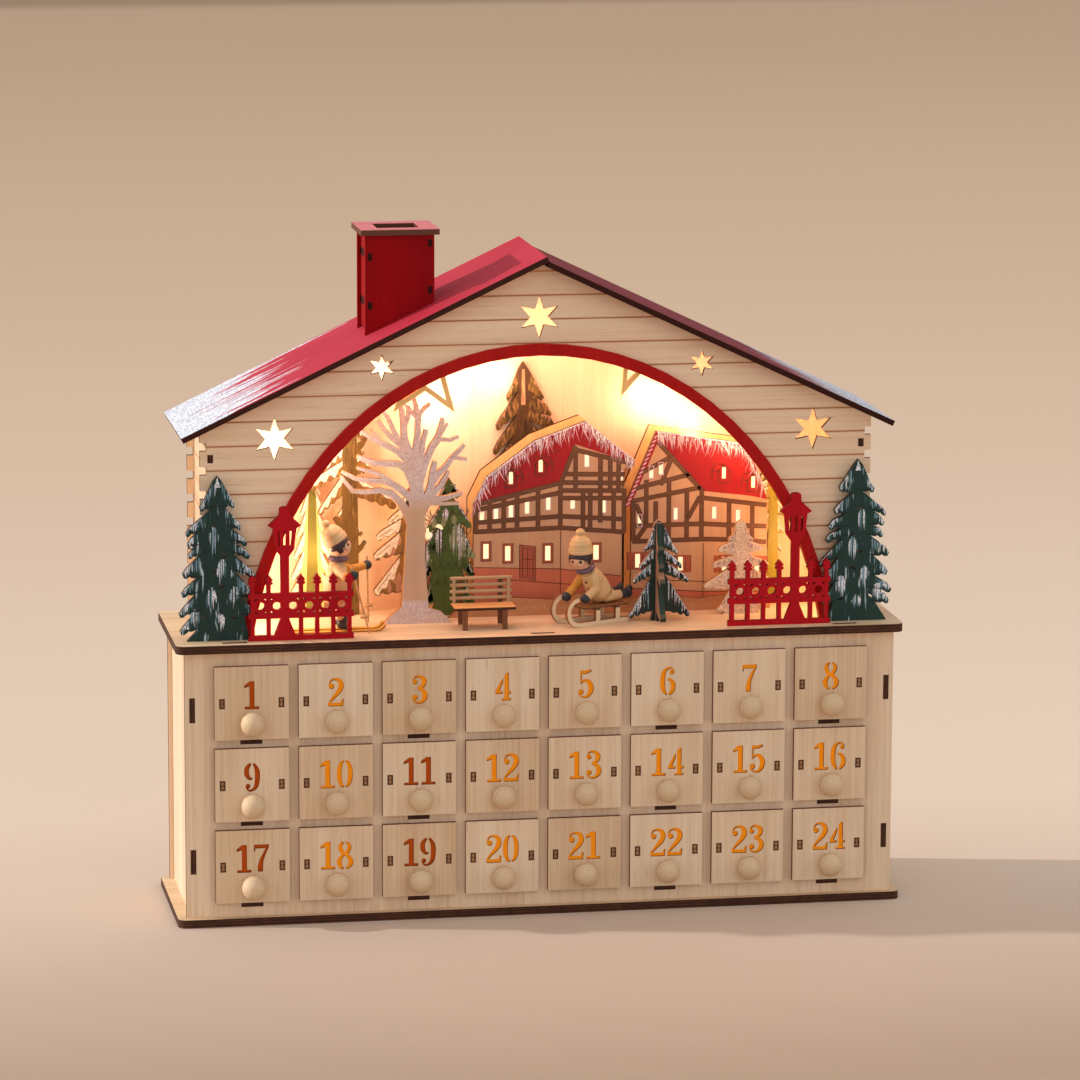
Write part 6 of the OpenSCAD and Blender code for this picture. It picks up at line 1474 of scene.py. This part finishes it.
# Head: a ball with a dark fringe under the hat's brim, and a bell-shaped hat with a pom-pom
def figureHead(heap, centre, faceWay, up=(0, 0, 1)):
    r = figureSet["headR"]
    centre, up = np.asarray(centre, float), unit(up)
    faceWay = unit(np.asarray(faceWay, float) - np.dot(faceWay, up) * up)
    sideWay = np.cross(up, faceWay)
    ways = (faceWay, sideWay, up)
    ball(heap, centre, r, skin, up, 1.0, 36)
    fringe = lambda turn: 2 + 4 * math.cos(math.radians(turn * 2.4)) - (22 if 60 < abs(turn) < 88 else 0)
    patch(heap, centre, ways, r * 1.035, 0.6, (-118, 118), (0, 33), hair, fringe, 60)
    for turn in (-52, -44, 44, 52):
        top, end = onHead(*ways, turn, 4), onHead(*ways, turn + (3 if turn > 0 else -3), -20)
        limb(heap, centre + top * r * 0.99, centre + end * r * 0.97, 0.5, 0.2, hair, 8)
    for side in (-1, 1):
        eye, cheek = onHead(*ways, side * 22, -8), onHead(*ways, side * 42, -25)
        ball(heap, centre + eye * r * 0.96, 0.92, hair, eye, 0.55, 12)
        ball(heap, centre + cheek * r * 0.87, 1.5, blush, cheek, 0.6, 18)
    ball(heap, centre + onHead(*ways, 0, -14) * r * 0.99, 0.7, blush, faceWay, 0.9, 14)
    for turn in (-14, -7, 0, 7, 14):
        ball(heap, centre + onHead(*ways, turn, -37 + 0.02 * turn ** 2) * r * 0.985, 0.26, button,
             faceWay, 0.6, 8)
    hat = [(0.7, 0.44), (1.03, 0.46), (1.06, 0.5), (1.075, 0.6), (1.07, 0.72), (1.02, 0.78), (1.05, 0.83),
           (1.045, 0.93), (1.0, 0.99), (1.0, 1.12), (0.955, 1.3), (0.885, 1.48), (0.78, 1.66), (0.64, 1.82),
           (0.48, 1.96), (0.36, 2.06), (0.0, 2.1)]
    turned(heap, [(out * r, level * r) for out, level in hat], centre, up, cream, 40)
    ball(heap, centre + up * r * 2.24, figureSet["pomR"], cream, up, 0.94, 24)


# Body: a profile of shares of its length and radii, turned from hip to neck, with buttons on its surface
def figureBody(heap, hip, neck, buttonWay, shape, buttons):
    hip, neck = np.asarray(hip, float), np.asarray(neck, float)
    axis = neck - hip
    long = float(np.linalg.norm(axis))
    turned(heap, [(radius, share * long) for share, radius in shape], hip, axis, cream, 40)
    way = unit(np.asarray(buttonWay, float) - np.dot(buttonWay, unit(axis)) * unit(axis))
    for share in buttons:
        radius = np.interp(share, [row[0] for row in shape], [row[1] for row in shape])
        ball(heap, hip + axis * share + way * radius * 0.99, 0.8, button, way, 0.6, 12)


# The sledge's place on the stage, and its sizes along its own axes
sledgeSet = {"x": 22.03, "y": 12.99, "turn": 26, "length": 33, "width": 16, "runner": 2,
             "lanes": (0.0, 14.0), "curl": (8.0, 5.7), "deckLow": 9.2, "deckTop": 10.0,
             "posts": (11.2, 24.4), "postW": 2.8, "postLow": 8.0,
             "boards": [(0.0, 3.6), (4.1, 7.75), (8.25, 11.9), (12.4, 16.0)]}


def onSledge(points):  # from the sledge's axes to the stage: turned about Z, then moved to its place
    x, y, z = np.moveaxis(np.asarray(points, float), -1, 0)
    turn = math.radians(sledgeSet["turn"])
    return np.stack([sledgeSet["x"] + x * math.cos(turn) - y * math.sin(turn),
        sledgeSet["y"] + x * math.sin(turn) + y * math.cos(turn), z], -1)


riderSet = {"hip": (21.4, 8, 13.6), "neck": (10.6, 8, 30.0), "head": (6.6, 8, 35.9),
            "face": (-0.56, -0.82, -0.1), "up": (-0.03, -0.02, 1.0),
            "shape": [(0.0, 0.0), (0.005, 5.2), (0.04, 6.2), (0.2, 6.6), (0.45, 6.5), (0.62, 6.1), (0.8, 5.2),
                      (0.93, 4.0), (1.0, 3.0), (1.01, 0.0)]}


def rider():  # lying on the sledge: body and head, then arm and leg on each side
    heap, s = Heap(), riderSet
    hip, neck = onSledge(s["hip"]), onSledge(s["neck"])
    figureBody(heap, hip, neck, (-0.75, -0.6, 0.1), s["shape"], (0.72, 0.5, 0.28))
    figureHead(heap, onSledge(s["head"]), s["face"], s["up"])
    loopRing(heap, neck + [-0.9, -0.3, 0.2], 3.9, 1.75, unit(neck - hip) * 0.7 + [-0.1, -0.12, 0.7], scarf,
             34, 14, 0.9)
    for side, sleeve in ((-1, cream), (1, ochre)):
        shoulder = onSledge((12.6, 8 + side * 4.4, 26.4))
        elbow = onSledge((10.0 + side * -2.2, 8 + side * 6.4, 19.6))
        hand = onSledge((3.4 - side * 2.4, 8 + side * 5.4, 14.6))
        cuff = hand + (elbow - hand) * 0.22
        limb(heap, shoulder, elbow, 2.9, 2.5, sleeve, 22)
        limb(heap, elbow, cuff, 2.5, 2.2, sleeve, 22)
        ball(heap, hand, 2.65, glove)
        knee = onSledge((29.5, 8 + side * 3.6, 14.0))
        boot = onSledge((35.4, 8 + side * 3.8, 14.4))
        limb(heap, onSledge((21.5, 8 + side * 3.0, 13.6)), knee, 2.9, 2.6, cream, 22)
        limb(heap, knee + (boot - knee) * 0.35, boot, 2.55, 2.75, glove, 22)
        limb(heap, boot, boot + np.array([1.0, 0.5, 2.4]), 2.6, 1.9, glove, 22)
    heap.piece("rider_turned", figurePaint, slot="figure_wood", replaces=["sledge_rider"], spots=True)


def sledge():  # two runners that curl up in an arc of a circle, a deck of four boards, and two cross pieces
    s, local = sledgeSet, Heap()
    runner, deck, plank = range(3)
    big, small = s["curl"]
    arc = np.radians(np.linspace(-100, -262, 26))
    outer = np.stack([big * np.cos(arc), big + big * np.sin(arc)], 1)
    inner = np.stack([small * np.cos(arc), big + small * np.sin(arc)], 1)
    nose = [(1.2 * math.cos(a), 1.2 * math.sin(a)) for a in np.radians([60, 20, -20])]
    tip = (outer[-1] + inner[-1]) / 2 + nose
    feet = [(0.4, 2.2)]
    for x in s["posts"]:
        feet += [(x, 2.2), (x, s["postLow"]), (x + s["postW"], s["postLow"]), (x + s["postW"], 2.2)]
    loop = np.concatenate([[(s["length"], 0), (0, 0)], outer, tip, inner[::-1], feet, [(s["length"], 2.2)]])
    for lane in s["lanes"]:
        slab(local, loop, lane, lane + s["runner"], runner)
    for y0, y1 in s["boards"]:
        end, middle = s["length"], (y0 + y1) / 2
        slab(local, [(4, y0), (end, y0), (end + 0.3, middle), (end, y1), (4, y1), (3.6, middle)],
             s["deckTop"], s["deckLow"], deck, plank, "flat")
    for x in s["posts"]:
        slab(local, rect(x, 0, x + s["postW"], s["width"]), s["deckLow"], s["postLow"], plank, None, "flat")
    local.points = [onSledge(points) for points in local.points]
    local.piece("sledge_built", [figureFinishes[key] for key in ("runner", "deck", "plank")],
                slot="cream_paint", replaces=["sledge"])


skierSet = {"x": -105.6, "y": 21.03, "hip": (-2.9, 3.7, 15.4), "neck": (-1.8, 3.7, 39.0),
            "head": (-0.9, 3.7, 45.9), "face": (0.86, -0.42, 0.42), "up": (-0.52, 0.05, 0.86),
            "shape": [(0.0, 0.0), (0.005, 5.6), (0.03, 6.9), (0.18, 7.3), (0.4, 7.0), (0.58, 6.4),
                      (0.76, 5.4), (0.9, 4.2), (1.0, 3.2), (1.01, 0.0)]}


def skier():  # standing on two skis: body and head, then leg, arm, pole and ski on each side
    heap, s = Heap(), skierSet
    at = lambda spot: np.asarray(spot, float) + [s["x"], s["y"], 0]
    hip, neck = at(s["hip"]), at(s["neck"])
    figureBody(heap, hip, neck, (0.8, -0.6, 0.1), s["shape"], (0.74, 0.5, 0.26))
    figureHead(heap, at(s["head"]), s["face"], s["up"])
    loopRing(heap, neck + [0.3, 0, 0.6], 4.0, 1.7, (0.02, 0.0, 1.0), scarf, 34, 14, 0.9)
    for side in (-1, 1):
        lane = 3.7 + side * 3.7
        boot = at((0.2, lane, 4.2))
        limb(heap, at((-0.4, lane, 8.4)), at((-2.2, 3.7 + side * 3.0, 19.0)), 2.6, 3.2, cream, 22)
        limb(heap, boot + [0, 0, 4.6], boot, 2.45, 2.4, glove, 22)
        limb(heap, boot + [-0.9, 0, -0.3], boot + [3.0, 0, -0.9], 2.3, 2.0, glove, 22)
        hand = at((4.6, -11.6, 33.0)) if side < 0 else at((16.0, 18.4, 32.6))
        shoulder = neck + [-0.4, side * 4.2, -4.6]
        elbow = shoulder * 0.46 + hand * 0.54 + [-0.6, side * 1.2, -2.2]
        limb(heap, shoulder, elbow, 2.8, 2.4, ochre if side > 0 else cream, 22)
        limb(heap, elbow, hand + (elbow - hand) * 0.24, 2.4, 2.15, ochre, 22)
        ball(heap, hand, 2.65, glove)
        tip = np.array([hand[0] + (8.4 if side < 0 else 0.6), hand[1], 1.3])
        limb(heap, hand + unit(hand - tip) * 4.4, tip, 0.62, 0.45, poleWood, 12)
        basket = tip + (hand - tip) * 0.27
        turned(heap, [(0, 0), (2.5, 0.1), (2.75, 0.7), (2.5, 1.3), (0, 1.4)], basket, hand - tip,
               poleWood, 24)
        nose = [(-26.2, 1.25), (17.5, 1.25), (20.6, 1.7), (22.4, 3.0), (23.6, 4.6), (22.9, 4.9), (21.6, 3.5),
                (20.2, 2.4), (17.5, 1.9), (-26.2, 1.9)]
        slab(heap, np.array([(s["x"] + u, w - 1.25) for u, w in nose]), s["y"] + lane - 2.0,
             s["y"] + lane + 2.0, ski)
    heap.piece("skier_turned", figurePaint, slot="figure_wood", replaces=["skier"], spots=True)


benchSet = {"x0": -45.93, "x1": -12.33, "front": 13.66, "back": 31.46, "seat": 12.2, "plank": 1.4,
            "top": 26.6, "slats": 4, "slatR": 0.98}
benchFinishes = {
    "slat": painted("benchSlat", (200, 164, 126), (166, 124, 84), None, grainAxis="X"),
    "seat": plywood("benchSeat", "Z", "X", face=tone(228, 168, 108), shade=tone(204, 138, 82)),
    "leg": painted("benchLeg", (132, 82, 48), (98, 56, 30), None)}


def bench():  # turned slats over a seat of two boards, on two frames of legs and a rail
    heap, s = Heap(), benchSet
    slat, seat, leg = range(3)
    x0, x1, front, back = s["x0"], s["x1"], s["front"], s["back"]
    rng = np.random.default_rng(14)
    pitch = (s["top"] - s["seat"]) / s["slats"]
    for i in range(s["slats"]):
        along = np.linspace(0, x1 - x0, 26)
        width = s["slatR"] + 0.05 * np.sin(along * 0.9 + i * 1.7) + 0.04 * rng.standard_normal(26)
        profile = [(0.0, 0.0), (0.9, 0.05)] + list(zip(width[1:-1], along[1:-1]))
        profile += [(0.9, x1 - x0 - 0.05), (0.0, x1 - x0)]
        turned(heap, profile, (x0, back - 2.3, s["seat"] + (i + 1) * pitch - s["slatR"]), (1, 0, 0), slat, 14)
    low = s["seat"] - s["plank"]
    for y0, y1 in ((front, front + 8.0), (front + 8.2, back - 2.8)):
        slab(heap, [(x0 + 0.25, y0), (x1 - 0.25, y0), (x1, y0 + 0.4), (x1, y1), (x0, y1), (x0, y0 + 0.4)],
             s["seat"], low, seat, seat, "flat")
    for x in (x0 + 6.0, x1 - 6.0):
        slab(heap, rect(x - 1.3, 0, x + 1.3, low), front + 0.2, front + 2.4, leg)
        slab(heap, rect(x - 1.3, 0, x + 1.3, s["top"] - 0.1), back - 1.2, back - 0.05, leg)
        slab(heap, rect(front + 0.3, low - 2.6, back - 0.3, low), x + 1.0, x - 1.0, leg, None, "side")
    for x in (x0 + 1.9, x1 - 1.9):
        slab(heap, rect(x - 0.75, s["seat"] - 0.2, x + 0.75, s["top"] - 0.2), back - 4.0, back - 3.2, slat)
    heap.piece("bench_built", [benchFinishes["slat"], benchFinishes["seat"], benchFinishes["leg"]],
               slot="bench_wood", replaces=["bench"])


for build in (rider, sledge, skier, bench):
    build()
print("figures, sledge and bench built")

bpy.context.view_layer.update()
